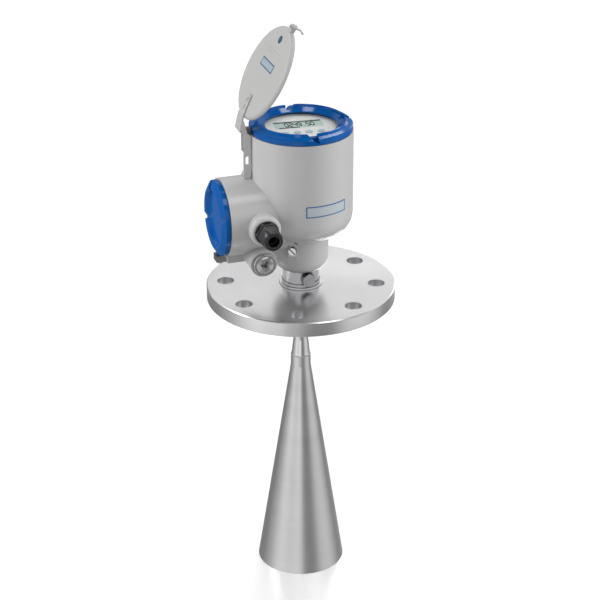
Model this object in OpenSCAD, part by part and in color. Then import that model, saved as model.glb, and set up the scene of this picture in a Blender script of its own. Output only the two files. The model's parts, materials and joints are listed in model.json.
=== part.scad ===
// Radar level transmitter with a conical horn antenna, a bolted process flange,
// a swivelling two-chamber housing and a hinged weather shade over the display.
// Millimetres, +Z up. The origin is the centre of the bolt circle on the underside
// of the flange plate. The terminal chamber points to -X, the cable entries to -Y.

/* [Flange] */
// Outer diameter of the flange plate
flange_d = 200; // [190:1:220]
// Thickness of the flange plate
flange_h = 16; // [12:1:24]
// Diameter of the circle that the bolt holes lie on
bolt_circle_d = 160; // [150:1:166]
// Number of bolt holes
bolt_count = 8; // [4:4:8]
// Diameter of one bolt hole
bolt_hole_d = 18; // [12:1:20]
// Turn of the first bolt hole away from +X, in degrees
bolt_turn = 25; // [0:5:45]
// Diameter of the raised sealing face below the plate
face_d = 138; // [110:1:140]
// Height of the raised sealing face
face_h = 2; // [1:0.5:4]
// Chamfer round the rim of the plate
flange_chamfer = 1; // [0.5:0.5:2]

/* [Process tube] */
// Outer diameter of the tube that passes through the flange and carries the head
stub_d = 30; // [26:0.5:31]
// Wave bore through the tube
wave_bore_d = 10; // [8:0.5:12]
// Diameter of the welded collar on top of the flange
collar_d = 44.5; // [42:0.5:50]
// Height of the welded collar
collar_h = 2; // [1.5:0.5:4]
// Diameter of the threaded end below the flange that the horn screws on
tail_d = 18; // [15:0.5:20]
// Length of the threaded end below the flange
tail_h = 14; // [10:1:16]

/* [Horn] */
// Outer diameter of the horn mouth
mouth_d = 95.2; // [80:0.4:110]
// Length from the underside of the plate to the horn mouth
horn_reach = 322; // [280:2:360]
// Sheet thickness of the horn
horn_wall = 1.5; // [1:0.1:2.5]
// Outer diameter of the straight band at the top of the horn
band_d = 21.6; // [20:0.4:26]
// Height of the straight band at the top of the horn
band_h = 12; // [8:1:16]
// Depth of the weld between throat and horn below the plate
seam_z = 69; // [60:1:76]
// Diameter of the slim part of the throat
throat_d = 16; // [15:0.5:18]
// Diameter of the hub that screws on the process tube
hub_d = 34; // [30:1:44]
// Height of that hub
hub_h = 18; // [17:1:24]
// Width across the two spanner flats on the hub
hub_flats = 30; // [27:1:32]

/* [Swivel sleeve] */
// Outer diameter of the sleeve that turns on the process tube
sleeve_d = 38.6; // [37:0.2:42]
// Height of the sleeve that shows between collar and housing
sleeve_show = 17; // [14:1:24]
// Diameter of the lip at the foot of the sleeve
lip_d = 41.2; // [40:0.4:44]
// Height of that lip
lip_h = 3; // [2:0.5:5]
// Width across the flats of the locking bolt
lock_af = 13; // [10:1:14]
// Shank diameter of the locking bolt
lock_d = 6.8; // [5:0.2:7.6]
// Direction of the locking bolt, in degrees from +X
lock_angle = -87; // [-100:1:-80]

/* [Housing] */
// Outer diameter of the display chamber
cup_d = 108.4; // [106:0.2:110]
// Wall thickness of the castings
cast_wall = 4.6; // [3.6:0.2:5.6]
// Radius of the rounded underside of the display chamber
cup_corner = 24; // [16:1:25]
// Height of the display chamber from its underside to its rim
cup_h = 113; // [110:1:125]
// Outer diameter of the neck
neck_d = 58; // [54:1:62]
// Height of the neck
neck_h = 41; // [36:1:46]
// Radius of the rounded foot of the neck
neck_round = 14; // [8:1:15]
// Outer diameter of the terminal chamber
barrel_d = 82; // [78:1:88]
// Distance from the head's axis to the end of the terminal chamber
barrel_reach = 86; // [80:1:96]
// Height of the terminal chamber's axis above the underside of the display chamber
barrel_rise = 25.5; // [22:0.5:30]

/* [Covers] */
// Outer diameter of the display cover
ring_d = 106.8; // [105:0.2:108]
// Height of the display cover's upright rim
ring_rim_h = 6.3; // [5:0.1:8]
// Height of the display cover from the housing to its top edge
ring_h = 10.4; // [9:0.2:14]
// Diameter of the display cover's top edge
ring_top_d = 92; // [88:1:96]
// Diameter of the clear opening over the display
view_d = 74; // [66:1:78]
// Thickness of the window glass
glass_t = 2.5; // [2:0.5:4]
// Outer diameter of the terminal cover
cap_d = 79; // [75:1:82]
// Thickness of the terminal cover outside the chamber
cap_h = 9; // [8:0.5:13]
// Diameter of the recess in the terminal cover
cap_dish_d = 56; // [46:1:60]
// Number of spanner notches in each cover
notch_count = 4; // [3:1:6]
// Width of a spanner notch at its floor
notch_w = 2.5; // [1.5:0.5:5]

/* [Display] */
// Width of the liquid-crystal panel
lcd_w = 51; // [40:1:54]
// Depth of the liquid-crystal panel
lcd_l = 21; // [16:1:24]
// Distance of the panel's centre behind the middle of the display
lcd_back = 12.5; // [10:0.5:14]
// Diameter of one push button
key_d = 7.6; // [6:0.2:9]
// Distance between neighbouring push buttons
key_pitch = 12.5; // [11:0.5:15]
// Distance of the push buttons in front of the middle of the display
key_front = 12; // [8:0.5:16]
// Travel of a push button
key_travel = 0.5; // [0.3:0.1:0.8]
// Turn of the display in its seat, in degrees
display_turn = -5; // [-15:1:15]

/* [Cable entries] */
// Diameter of the boss round the cable gland
entry_boss_d = 33; // [30:1:36]
// Length of the rounded nose of that boss
entry_nose = 9; // [6:0.5:11]
// Thread diameter of both cable entries
entry_d = 20; // [16:1:20]
// Distance of both cable entries from the head's axis
entry_x = 53; // [50:1:60]
// Height between the upper and the lower cable entry
entry_drop = 39; // [36:1:44]
// Width across the flats of the gland body
gland_af = 22; // [21:1:27]
// Length of the gland outside the boss
gland_reach = 26; // [24:1:34]
// Diameter of the cable hole in the gland
cable_d = 11; // [8:0.5:12]
// Diameter of the head of the blanking plug
plug_d = 24.4; // [22:0.4:26]

/* [Weather shade] */
// Outer diameter of the shade
shade_d = 101; // [100:0.2:104]
// Depth of the shade from its face to its lower edge
shade_h = 4.3; // [4.1:0.1:4.4]
// Wall thickness of the shade
shade_wall = 1.4; // [1:0.1:1.6]
// Radius of the shade's rounded shoulder
shade_round = 4; // [2.5:0.5:4]
// Distance from the hinge pin to the edge of the closed shade
hinge_gap = 12.3; // [12:0.1:16]
// Height of the hinge pin above the rim of the display chamber
pin_rise = 6; // [6:0.1:7]
// Diameter of the hinge pin
pin_d = 4; // [3:0.5:5]
// Opening of the shade, in degrees
shade_open = 61; // [0:1:98]
// Sheet thickness of the bracket and the hinge leaf
sheet = 2; // [1.6:0.1:2.4]
// Width between the two cheeks of the bracket
bracket_gap = 6; // [5:0.5:8]
// Depth of the bracket's channel
bracket_l = 7.6; // [6:0.2:8]

/* [Hidden] */
$fn = 72;
eps = 0.01;

// Clearances
run_gap = 0.05;
body_gap = 0.3;
cup_gap = 0.5;

// Heights along the head's axis, each stacked on the one before
flange_top = flange_h;
collar_top = flange_top + collar_h;
sleeve_foot = collar_top + body_gap;
neck_foot = collar_top + sleeve_show;
spigot_h = 16;
spigot_top = neck_foot + spigot_h;
cup_foot = neck_foot + neck_h;
cup_top = cup_foot + cup_h;
ring_foot = cup_top + body_gap;
ring_top = cup_top + ring_h;
barrel_z = cup_foot + barrel_rise;
entry_low_z = barrel_z - entry_drop;
pin_z = cup_top + pin_rise;
pin_setback = 0.5;
pin_x = max(hinge_gap + shade_d / 2, cup_d / 2 + cup_gap + bracket_l + pin_setback);

// Process tube
stub_top = spigot_top - 1;
lock_z = collar_top + sleeve_show * 0.6;
lock_groove_w = lock_d + 1.4;
lock_groove = 1.5;
seal_groove = 2;
seal_groove_h = 3.6;
seal_z = neck_foot + 9;

weld_relief = 1.2;
weld_relief_r = hub_d / 2 + 0.5;

// Horn
band_foot = -seam_z - band_h;
throat_taper_z = -seam_z + 19;
window_tip_l = 18;

// Housing
cup_r = cup_d / 2;
bore_r = cup_r - cast_wall;
ledge_r = bore_r - 5;
barrel_r = barrel_d / 2;
barrel_bore_r = barrel_r - cast_wall - 1.5;
chamber_back = 36;
spigot_d = sleeve_d - 4.4;
ledge_z = barrel_z + barrel_r + 4;
floor_z = cup_foot + 16;
duct_r = 5;
duct_edge = 2;
neck_fillet = 4;
entry_face = barrel_r + 2.5;
rib_w = 22;
rib_foot = barrel_z - barrel_r - 7;
web_l = 34;
web_w = 20;
neck_flat = 0.7;
strap_pad = 1;

// Display cover, from the outside in
lip_t = 1;
ridge_w = 2.4;
notch_depth = 8;
glass_r = view_d / 2 + 6.5;
lip_z = cup_top + 3.6;
glass_z = lip_z - glass_t;
skirt_r = bore_r - 0.4;
skirt_in = glass_r + 0.5;
skirt_h = 9;
retainer_h = 4;
ridge_cut = ring_top - lip_z - lip_t - 1.2;

// Display
dial_z = glass_z - 1.1;
dial_r = view_d / 2 + 1;
module_h = 8;
module_foot = dial_z - module_h;
board_t = 1.6;
board_r = dial_r;
lcd_t = 2;
key_proud = 0.7;
key_h = 5;
key_count = 4;

// Terminal cover, in its own axis from the chamber outwards
cap_skirt_r = barrel_bore_r - 0.4;
cap_skirt_h = 9;
cap_shoulder = 3.5;
cap_dish = 4;
cap_turn = 18;
seal_t = 1.6;
seal_w = 1.4;

// Weather shade: the hinge pin is the origin, the closed shade lies along +X
shade_face = 7.6;
eye_r = pin_d / 2 + 1;
leaf_t = 1.6;
leaf_start = -2;
leaf_start_v = eye_r + body_gap + 1.1;
leaf_tip_w = 6;
leaf_bend = pin_x - shade_d / 2 - 0.6;
leaf_joggle = leaf_bend + 2.5;
rivet_u = leaf_joggle + 8;
rivet_pitch = 9;
leaf_l = rivet_u + rivet_pitch + 5;
cheek_out = bracket_gap / 2 + sheet;
leaf_in = cheek_out + 1.6;
leaf_out = leaf_in + sheet;
latch_rod_d = 2.4;
latch_head_r = latch_rod_d - 0.2;
latch_r = body_gap + max(cup_r + latch_rod_d / 2, shade_d / 2 + latch_head_r);
latch_bearing = 12;
latch_reach = 11.5;

// Earth terminal on the neck
earth_angle = -122.5;
earth_z = neck_foot + 31;
earth_pad = 2;
earth_pad_w = 9;
earth_screw_d = 5;
earth_screw_l = 8;
earth_head_r = 4.1;
earth_clamp_l = 16;
earth_clamp_up = 9;
earth_clamp_t = 1.6;
earth_clamp_lip = 4.5;

// Electronics
board_foot = module_foot - board_t;
unit_h = 22;
key_gap = 0.15;

// Terminals
block_h = 16;
block_w = 44;
block_t = 14;
terminal_count = 4;
terminal_pitch = 10;
terminal_r = 3;

// Cover lock
rib_setback = 3;
lock_reach = 7.5;
lock_block_l = lock_reach + rib_setback;
lock_block_w = 12;
lock_block_h = barrel_z - barrel_r - rib_foot - 0.1;
lock_block_x = -barrel_reach - lock_reach;

// Cable gland
gland_washer_t = 1.5;
gland_hex_h = 5.5;
gland_thread_r = gland_af / 2 - 1.6;
gland_thread_h = 8;
gland_mouth_z = gland_washer_t + gland_hex_h + gland_thread_h + 2;
gland_seal_h = 8;
gland_bore_r = cable_d / 2 + 1.6;
entry_thread = 9;
nose_round = 4;
nut_round = 9;
plug_h = 3;
plug_dish_r = 24;

// Shade bracket and latch
bracket_x = -cup_r - bracket_l - cup_gap;
bracket_seat = barrel_z + barrel_r + strap_pad;
channel_foot = pin_z - 24;
channel_top = pin_z - 6;
slot_w = 4.5;
slot_l = 9;
bracket_screw_d = 4;
bracket_screw_l = 8;
buffer_h = 13.5;
rivet_r = 1.5;
latch_boss_r = 3;
latch_boss_h = 5;
latch_bar_l = 7;

steel = "Silver";
bright = "Gainsboro";
paint = "LightGray";
blue = "RoyalBlue";

// ---------------------------------------------------------------- helpers

// Half outline of a round body with a rounded lower edge, for rotate_extrude
module rounded_foot_outline(r, low, high, round) {
    translate([0, low + round]) square([r, high - low - round]);
    translate([0, low]) square([r - round, round + eps]);
    intersection() {
        translate([r - round, low + round]) circle(round);
        translate([0, low]) square([r, round + eps]);
    }
}

module ring_of(r_out, r_in, h) {
    difference() {
        cylinder(r = r_out, h = h);
        translate([0, 0, -1]) cylinder(r = r_in, h = h + 2);
    }
}

// Turns +Z into the outward direction of a terminal chamber, towards -X
module along_barrel() {
    translate([0, 0, barrel_z]) rotate([0, -90, 0]) children();
}

// Turns +Z into the outward direction of a cable entry, towards -Y
module along_entry(z) {
    translate([-entry_x, -entry_face, z]) rotate([90, 0, 0]) children();
}

// Front face of the upper entry, where the cable gland sits
module on_nose() {
    along_entry(barrel_z) translate([0, 0, entry_nose]) children();
}

// Frame of the open shade: +X runs from the pin to the free edge
module on_shade() {
    translate([-pin_x, 0, pin_z]) rotate([0, -shade_open, 0]) children();
}

// One spanner notch along +X: upright on one side, a ramp on the other
module spanner_notch(r, depth, ramp) {
    rotate([90, 0, 90])
        linear_extrude(height = r)
            polygon([
                [notch_w, -depth], [notch_w, 1], [-ramp * (1 + 1 / depth), 1], [0, -depth]
            ]);
}

// ---------------------------------------------------------------- process side

module flange() {
    r = flange_d / 2;
    color(bright)
        difference() {
            union() {
                rotate_extrude()
                    polygon([
                        [0, 0], [r - flange_chamfer, 0], [r, flange_chamfer],
                        [r, flange_h - flange_chamfer], [r - flange_chamfer, flange_h], [0, flange_h]
                    ]);
                translate([0, 0, -face_h]) cylinder(d = face_d, h = face_h + eps);
            }
            translate([0, 0, -face_h - 1]) cylinder(d = stub_d, h = flange_h + face_h + 2);
            // Relief that keeps the horn's hub off the sealing face
            translate([0, 0, -face_h - 1]) cylinder(r = weld_relief_r, h = weld_relief + 1);
            for (i = [0 : bolt_count - 1])
                rotate([0, 0, bolt_turn + i * 360 / bolt_count])
                    translate([bolt_circle_d / 2, 0, -face_h - 1])
                        cylinder(d = bolt_hole_d, h = flange_h + face_h + 2);
        }
}

module process_stub() {
    r = stub_d / 2;
    color(bright)
        rotate_extrude()
            polygon([
                [wave_bore_d / 2, -face_h - tail_h], [tail_d / 2, -face_h - tail_h],
                [tail_d / 2, -face_h], [r, -face_h], [r, flange_top],
                [collar_d / 2, flange_top], [collar_d / 2, collar_top], [r, collar_top],
                [r, lock_z - lock_groove_w / 2], [r - lock_groove, lock_z - lock_groove_w / 2],
                [r - lock_groove, lock_z + lock_groove_w / 2], [r, lock_z + lock_groove_w / 2],
                [r, seal_z - seal_groove_h / 2], [r - seal_groove, seal_z - seal_groove_h / 2],
                [r - seal_groove, seal_z + seal_groove_h / 2], [r, seal_z + seal_groove_h / 2],
                [r, stub_top - 1], [r - 1, stub_top], [wave_bore_d / 2, stub_top]
            ]);
}

module process_window() {
    r = wave_bore_d / 2;
    color("Ivory") {
        translate([0, 0, -face_h - tail_h]) cylinder(r = r, h = tail_h);
        translate([0, 0, -face_h - tail_h - window_tip_l])
            cylinder(r1 = 0.6, r2 = r - 0.2, h = window_tip_l + eps);
    }
}

module stub_seal() {
    color("DimGray")
        translate([0, 0, seal_z - seal_groove_h / 2 + 0.3])
            ring_of(stub_d / 2 - 0.1, stub_d / 2 - seal_groove, seal_groove_h - 0.6);
}

module horn_throat() {
    top = -face_h;
    hub_foot = top - hub_h;
    tail_foot = top - tail_h;
    inner = band_d / 2 - horn_wall;
    color(bright)
        difference() {
            rotate_extrude()
                polygon([
                    [wave_bore_d / 2, tail_foot], [tail_d / 2, tail_foot], [tail_d / 2, top],
                    [hub_d / 2 - 1, top], [hub_d / 2, top - 1], [hub_d / 2, hub_foot + 2],
                    [hub_d / 2 - 2, hub_foot], [throat_d / 2, hub_foot],
                    [throat_d / 2, throat_taper_z], [band_d / 2 - 0.7, -seam_z],
                    [inner, -seam_z], [inner, band_foot], [inner - 0.8, band_foot],
                    [wave_bore_d / 2, throat_taper_z]
                ]);
            for (side = [0, 180])
                rotate([0, 0, side])
                    translate([hub_flats / 2, -hub_d / 2, hub_foot - 1])
                        cube([hub_d, hub_d, hub_h - 2]);
        }
}

module antenna_horn() {
    band_r = band_d / 2;
    mouth_r = mouth_d / 2;
    color(steel)
        rotate_extrude()
            polygon([
                [band_r - horn_wall, -seam_z], [band_r, -seam_z], [band_r, band_foot],
                [mouth_r, -horn_reach], [mouth_r - horn_wall, -horn_reach],
                [band_r - horn_wall, band_foot]
            ]);
}

// ---------------------------------------------------------------- swivel

module lock_axis() {
    translate([0, 0, lock_z]) rotate([0, 90, lock_angle]) children();
}

module swivel_sleeve() {
    color(bright)
        difference() {
            union() {
                translate([0, 0, sleeve_foot]) cylinder(d = sleeve_d, h = neck_foot - sleeve_foot);
                translate([0, 0, sleeve_foot]) cylinder(d = lip_d, h = lip_h);
                translate([0, 0, neck_foot - eps]) cylinder(d = spigot_d, h = spigot_h + eps);
            }
            translate([0, 0, sleeve_foot - 1])
                cylinder(r = stub_d / 2 + run_gap, h = spigot_top - sleeve_foot + 2);
            lock_axis() cylinder(d = lock_d, h = sleeve_d);
        }
}

module locking_bolt() {
    tip = stub_d / 2 - lock_groove + 0.5;
    seat = sleeve_d / 2;
    color(steel)
        lock_axis() {
            translate([0, 0, tip]) cylinder(d = lock_d, h = seat - tip + eps);
            difference() {
                union() {
                    translate([0, 0, seat]) cylinder(d = lock_af + 1.4, h = 1);
                    translate([0, 0, seat + 1]) cylinder(d = lock_af / cos(30), h = 5, $fn = 6);
                }
                // Seat curved to the sleeve
                rotate([0, 90, 0]) translate([0, 0, -lock_af]) cylinder(d = sleeve_d, h = 2 * lock_af);
            }
        }
}

// ---------------------------------------------------------------- housing

module housing_outside() {
    rotate_extrude() {
        rounded_foot_outline(neck_d / 2, neck_foot - neck_flat, cup_foot + cup_corner, neck_round);
        rounded_foot_outline(cup_r, cup_foot, cup_top, cup_corner);
        difference() {
            translate([neck_d / 2 - 1, cup_foot - neck_fillet]) square([neck_fillet + 1, neck_fillet + 1]);
            translate([neck_d / 2 + neck_fillet, cup_foot - neck_fillet]) circle(neck_fillet);
        }
    }
    along_barrel() cylinder(r = barrel_r, h = barrel_reach);
    // Boss of the upper entry and its body towards the neck
    along_entry(barrel_z) translate([0, 0, -entry_face]) cylinder(d = entry_boss_d, h = entry_face);
    along_entry(barrel_z) rotate_extrude() rounded_cap_outline(entry_boss_d / 2, entry_nose, nose_round);
    along_entry(entry_low_z) translate([0, 0, -entry_face]) cylinder(d = plug_d + 4, h = entry_face - 1);
    // Web between the lower entry, the neck and the terminal chamber
    translate([-entry_x, -web_w, entry_low_z - plug_d / 4])
        cube([web_l, web_w, entry_drop - 6]);
    // Rib below the terminal chamber that carries the cover lock
    translate([-barrel_reach + rib_setback, -rib_w / 2, rib_foot])
        cube([barrel_reach - entry_x - rib_setback + eps, rib_w, barrel_z - rib_foot]);
    // Flat pad for the foot of the shade's bracket
    translate([bracket_x, -cheek_out, barrel_z])
        cube([bracket_l, 2 * cheek_out, bracket_seat - barrel_z]);
    // Pad of the earth terminal
    rotate([0, 0, earth_angle]) translate([0, -earth_pad_w / 2, earth_z - 11])
        cube([neck_d / 2 + earth_pad, earth_pad_w, 16]);
}

module housing_inside() {
    // Display chamber with the ledge that the electronics unit stands on
    translate([0, 0, ledge_z]) cylinder(r = bore_r, h = cup_top - ledge_z + 1);
    difference() {
        translate([0, 0, floor_z]) cylinder(r = ledge_r, h = ledge_z - floor_z + eps);
        along_barrel() translate([0, 0, chamber_back - cast_wall])
            cylinder(r = barrel_bore_r + cast_wall, h = barrel_reach);
    }
    // Flat seat for the sleeve, its socket and the passage of the wave guide
    translate([0, 0, neck_foot - neck_d]) cylinder(d = neck_d, h = neck_d);
    translate([0, 0, neck_foot - 1]) cylinder(d = spigot_d, h = spigot_h + 1);
    translate([0, 0, spigot_top - eps]) cylinder(r = wave_bore_d, h = floor_z - spigot_top + 1);
    // Terminal chamber
    along_barrel() translate([0, 0, chamber_back]) cylinder(r = barrel_bore_r, h = barrel_reach);
    // Wire duct from the terminal chamber up to the electronics
    translate([-chamber_back - duct_r - duct_edge, 0, barrel_z])
        cylinder(r = duct_r, h = ledge_z - barrel_z + 1);
    // Rebates of the two cover seals
    translate([0, 0, cup_top - seal_t]) cylinder(r = bore_r + seal_w, h = seal_t + 1);
    along_barrel() translate([0, 0, barrel_reach - seal_t])
        cylinder(r = barrel_bore_r + seal_w, h = seal_t + 1);
    // Pocket that keeps the earth terminal clear of the castings above it
    earth_axis() translate([-earth_clamp_up - 1, -earth_pad_w / 2 - 0.5, 0])
        cube([earth_clamp_l + 2, earth_pad_w + 1, earth_clamp_lip + 1.5]);
    // Screw holes of the earth terminal and the bracket
    earth_axis() translate([0, 0, -earth_screw_l]) cylinder(d = earth_screw_d, h = earth_screw_l + 1);
    bracket_screw_places() translate([0, 0, -bracket_screw_l])
        cylinder(d = bracket_screw_d, h = bracket_screw_l + 1);
    // Threaded cable entries
    on_nose() translate([0, 0, -entry_face - entry_nose])
        cylinder(d = entry_d, h = entry_face + entry_nose + 1);
    along_entry(entry_low_z) translate([0, 0, -14]) cylinder(d = entry_d, h = 15);
}

module housing() {
    color(paint)
        difference() {
            housing_outside();
            housing_inside();
        }
}

module earth_axis() {
    rotate([0, 0, earth_angle]) translate([neck_d / 2 + earth_pad, 0, earth_z]) rotate([0, 90, 0]) children();
}

module earth_clamp() {
    color(steel)
        earth_axis()
            difference() {
                union() {
                    translate([-earth_clamp_up, -earth_pad_w / 2, 0])
                        cube([earth_clamp_l, earth_pad_w, earth_clamp_t]);
                    translate([-earth_clamp_up, -earth_pad_w / 2, 0])
                        cube([earth_clamp_t, earth_pad_w, earth_clamp_lip]);
                }
                translate([0, 0, -1]) cylinder(d = earth_screw_d, h = 4);
            }
}

module earth_screw() {
    color(bright)
        earth_axis()
            difference() {
                union() {
                    translate([0, 0, -earth_screw_l]) cylinder(d = earth_screw_d, h = earth_screw_l + 2);
                    translate([0, 0, earth_clamp_t]) cylinder(r = earth_head_r, h = 3);
                }
                rotate([0, 0, 45]) translate([-earth_head_r - 1, -0.6, 3.2])
                    cube([2 * earth_head_r + 2, 1.2, 2]);
            }
}

// ---------------------------------------------------------------- display

module electronics_unit() {
    color("DarkSlateGray") {
        translate([0, 0, ledge_z]) cylinder(r = bore_r - 1, h = unit_h);
        translate([0, 0, ledge_z + unit_h - eps])
            cylinder(r = skirt_in - 2, h = board_foot - ledge_z - unit_h + eps);
    }
}

module display_board() {
    color("DarkGreen")
        translate([0, 0, board_foot]) cylinder(r = board_r, h = board_t);
}

module on_dial() {
    translate([0, 0, dial_z]) rotate([0, 0, display_turn]) children();
}

module key_place(i) {
    translate([(i - (key_count - 1) / 2) * key_pitch, -key_front, 0]) children();
}

module display_module() {
    color("WhiteSmoke")
        on_dial()
            difference() {
                translate([0, 0, -module_h]) cylinder(r = dial_r, h = module_h);
                translate([-lcd_w / 2, lcd_back - lcd_l / 2, -lcd_t]) cube([lcd_w, lcd_l, lcd_t + 1]);
                for (i = [0 : key_count - 1])
                    key_place(i) translate([0, 0, -key_h - key_travel - 0.2])
                        cylinder(d = key_d + 2 * key_gap, h = module_h + 1);
            }
}

module lcd_panel() {
    color("PaleGreen")
        on_dial()
            translate([-lcd_w / 2, lcd_back - lcd_l / 2, -lcd_t]) cube([lcd_w, lcd_l, lcd_t - 0.3]);
}

module key(i) {
    color("LightSteelBlue")
        on_dial() key_place(i)
            translate([0, 0, -key_h]) cylinder(d = key_d, h = key_h + key_proud);
}

module key_1() { key(0); }
module key_2() { key(1); }
module key_3() { key(2); }
module key_4() { key(3); }

// ---------------------------------------------------------------- display cover

module display_cover() {
    rim_top = ring_foot + ring_rim_h;
    r = ring_d / 2;
    top_r = ring_top_d / 2;
    lip_r = view_d / 2;
    color(blue)
        difference() {
            rotate_extrude()
                polygon([
                    [skirt_in, cup_top - skirt_h], [skirt_r, cup_top - skirt_h], [skirt_r, ring_foot],
                    [r - 0.4, ring_foot], [r, ring_foot + 0.4], [r, rim_top - 1], [r - 1, rim_top],
                    [top_r + ridge_w, rim_top + ridge_w / 2],
                    [top_r + 0.6, ring_top - 0.4], [top_r - 0.4, ring_top],
                    [top_r - 1.4, ring_top - 0.5], [top_r - 2, lip_z + lip_t + 3],
                    [lip_r + 1.6, lip_z + lip_t], [lip_r, lip_z + lip_t], [lip_r, lip_z],
                    [skirt_in, lip_z]
                ]);
            for (i = [0 : notch_count - 1])
                rotate([0, 0, i * 360 / notch_count])
                    translate([skirt_in + 1, 0, ring_top]) spanner_notch(r, notch_depth, notch_depth);
            // The notches go on through the ridge, down to the sloping seat of the window
            for (i = [0 : notch_count - 1])
                rotate([0, 0, i * 360 / notch_count])
                    intersection() {
                        translate([lip_r + 3, 0, ring_top]) spanner_notch(r, notch_depth, notch_depth);
                        translate([0, -r, ring_top - ridge_cut]) cube(2 * r);
                    }
        }
}

module display_glass() {
    color("LightCyan", 0.35)
        translate([0, 0, glass_z]) cylinder(r = glass_r, h = glass_t);
}

module glass_retainer() {
    color("DimGray")
        translate([0, 0, glass_z - retainer_h]) ring_of(skirt_in, dial_r + 0.6, retainer_h);
}

module display_seal() {
    color("DimGray")
        translate([0, 0, cup_top - seal_t]) ring_of(bore_r + seal_w, bore_r, seal_t);
}

// ---------------------------------------------------------------- terminal chamber

module terminal_cover() {
    r = cap_d / 2;
    dish_r = cap_dish_d / 2;
    color(blue)
        along_barrel()
            translate([0, 0, barrel_reach + body_gap])
                difference() {
                    rotate_extrude()
                        polygon([
                            [0, -1], [cap_skirt_r - 3, -1], [cap_skirt_r - 3, -cap_skirt_h],
                            [cap_skirt_r, -cap_skirt_h], [cap_skirt_r, 0], [r - 0.6, 0], [r, 0.6],
                            [r, cap_h - cap_shoulder - 0.6], [r - 0.8, cap_h - cap_shoulder],
                            [r - 6.5, cap_h], [dish_r + 2, cap_h], [dish_r, cap_h - 1.5],
                            [dish_r - 1.5, cap_h - cap_dish], [0, cap_h - cap_dish]
                        ]);
                    for (i = [0 : notch_count - 1])
                        rotate([0, 0, -90 + cap_turn + i * 360 / notch_count])
                            translate([dish_r - 2, 0, cap_h]) spanner_notch(r, cap_dish, 5);
                }
}

module terminal_seal() {
    color("DimGray")
        along_barrel()
            translate([0, 0, barrel_reach - seal_t]) ring_of(barrel_bore_r + seal_w, barrel_bore_r, seal_t);
}

module terminal_block() {
    color("DarkSeaGreen")
        along_barrel()
            difference() {
                translate([-block_h / 2, -block_w / 2, chamber_back]) cube([block_h, block_w, block_t]);
                terminal_places() cylinder(r = terminal_r, h = block_t);
            }
}

module terminal_places() {
    for (i = [0 : terminal_count - 1])
        translate([0, (i - (terminal_count - 1) / 2) * terminal_pitch, chamber_back + block_t - 6])
            children();
}

module terminal_screws() {
    color(bright)
        along_barrel()
            terminal_places()
                difference() {
                    cylinder(r = terminal_r, h = 5);
                    translate([-terminal_r, -0.5, 4]) cube([2 * terminal_r, 1, 2]);
                }
}

module inner_earth_screw() {
    color(bright)
        along_barrel()
            translate([-barrel_bore_r * 0.6, 0, chamber_back]) {
                cylinder(r = 2, h = 4);
                translate([0, 0, 4 - eps]) cylinder(r = 4, h = 2.6);
            }
}

// Clamp below the terminal cover that keeps it from unscrewing
module cover_lock() {
    color("DimGray")
        difference() {
            translate([lock_block_x, -lock_block_w / 2, rib_foot])
                cube([lock_block_l, lock_block_w, lock_block_h]);
            cover_lock_bore(rib_foot - 1, 30);
        }
}

module cover_lock_bore(low, h) {
    translate([lock_block_x + lock_block_l / 2, 0, low]) cylinder(r = 2, h = h);
}

module cover_lock_screw() {
    color(bright)
        difference() {
            union() {
                cover_lock_bore(rib_foot, lock_block_h - 2);
                translate([lock_block_x + lock_block_l / 2, 0, rib_foot - 2.6]) cylinder(r = 3.4, h = 2.6);
            }
            translate([lock_block_x + lock_block_l / 2, 0, rib_foot - 3.6])
                cylinder(d = 3 / cos(30), h = 2.6, $fn = 6);
        }
}

// ---------------------------------------------------------------- cable entries

module gland_washer() {
    color("DimGray")
        on_nose() ring_of(entry_boss_d / 2 - nose_round, entry_d / 2, gland_washer_t);
}

module gland_body() {
    color("DarkSlateGray")
        on_nose()
            difference() {
                union() {
                    translate([0, 0, -entry_thread])
                        cylinder(d = entry_d, h = entry_thread + gland_washer_t + eps);
                    translate([0, 0, gland_washer_t])
                        cylinder(d = gland_af / cos(30), h = gland_hex_h, $fn = 6);
                    translate([0, 0, gland_washer_t + gland_hex_h - eps])
                        cylinder(r = gland_thread_r, h = gland_thread_h + eps);
                }
                translate([0, 0, -entry_thread - 1])
                    cylinder(r = gland_bore_r, h = gland_reach + entry_thread);
            }
}

module gland_seal() {
    color("Black")
        on_nose()
            translate([0, 0, gland_washer_t + gland_hex_h + 1])
                ring_of(gland_bore_r, cable_d / 2, gland_seal_h);
}

// Hexagonal dome nut: flats to hold it, a turned dome in front
module gland_nut() {
    skirt = gland_washer_t + gland_hex_h + body_gap;
    corner = (gland_af - 1.2) / 2 / cos(30);
    tip = cable_d / 2 + 4.2;
    color("Black")
        on_nose()
            difference() {
                intersection() {
                    translate([0, 0, skirt]) cylinder(r = corner, h = gland_reach - skirt, $fn = 6);
                    rotate_extrude() {
                        polygon([
                            [0, skirt], [corner, skirt], [corner, gland_reach - nut_round],
                            [tip, gland_reach - 2], [0, gland_reach - 2]
                        ]);
                        translate([0, gland_reach - 2 - eps]) square([tip - 2, 2 + eps]);
                        translate([tip - 2, gland_reach - 2]) circle(2);
                    }
                }
                translate([0, 0, skirt - 1])
                    cylinder(r = gland_thread_r + run_gap, h = gland_mouth_z - skirt + 1);
                cylinder(r = cable_d / 2 + 1, h = gland_reach + 1);
            }
}

module plug_washer() {
    color("DimGray")
        along_entry(entry_low_z) translate([0, 0, -1]) ring_of(plug_d / 2 - 0.6, entry_d / 2, 1);
}

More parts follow.
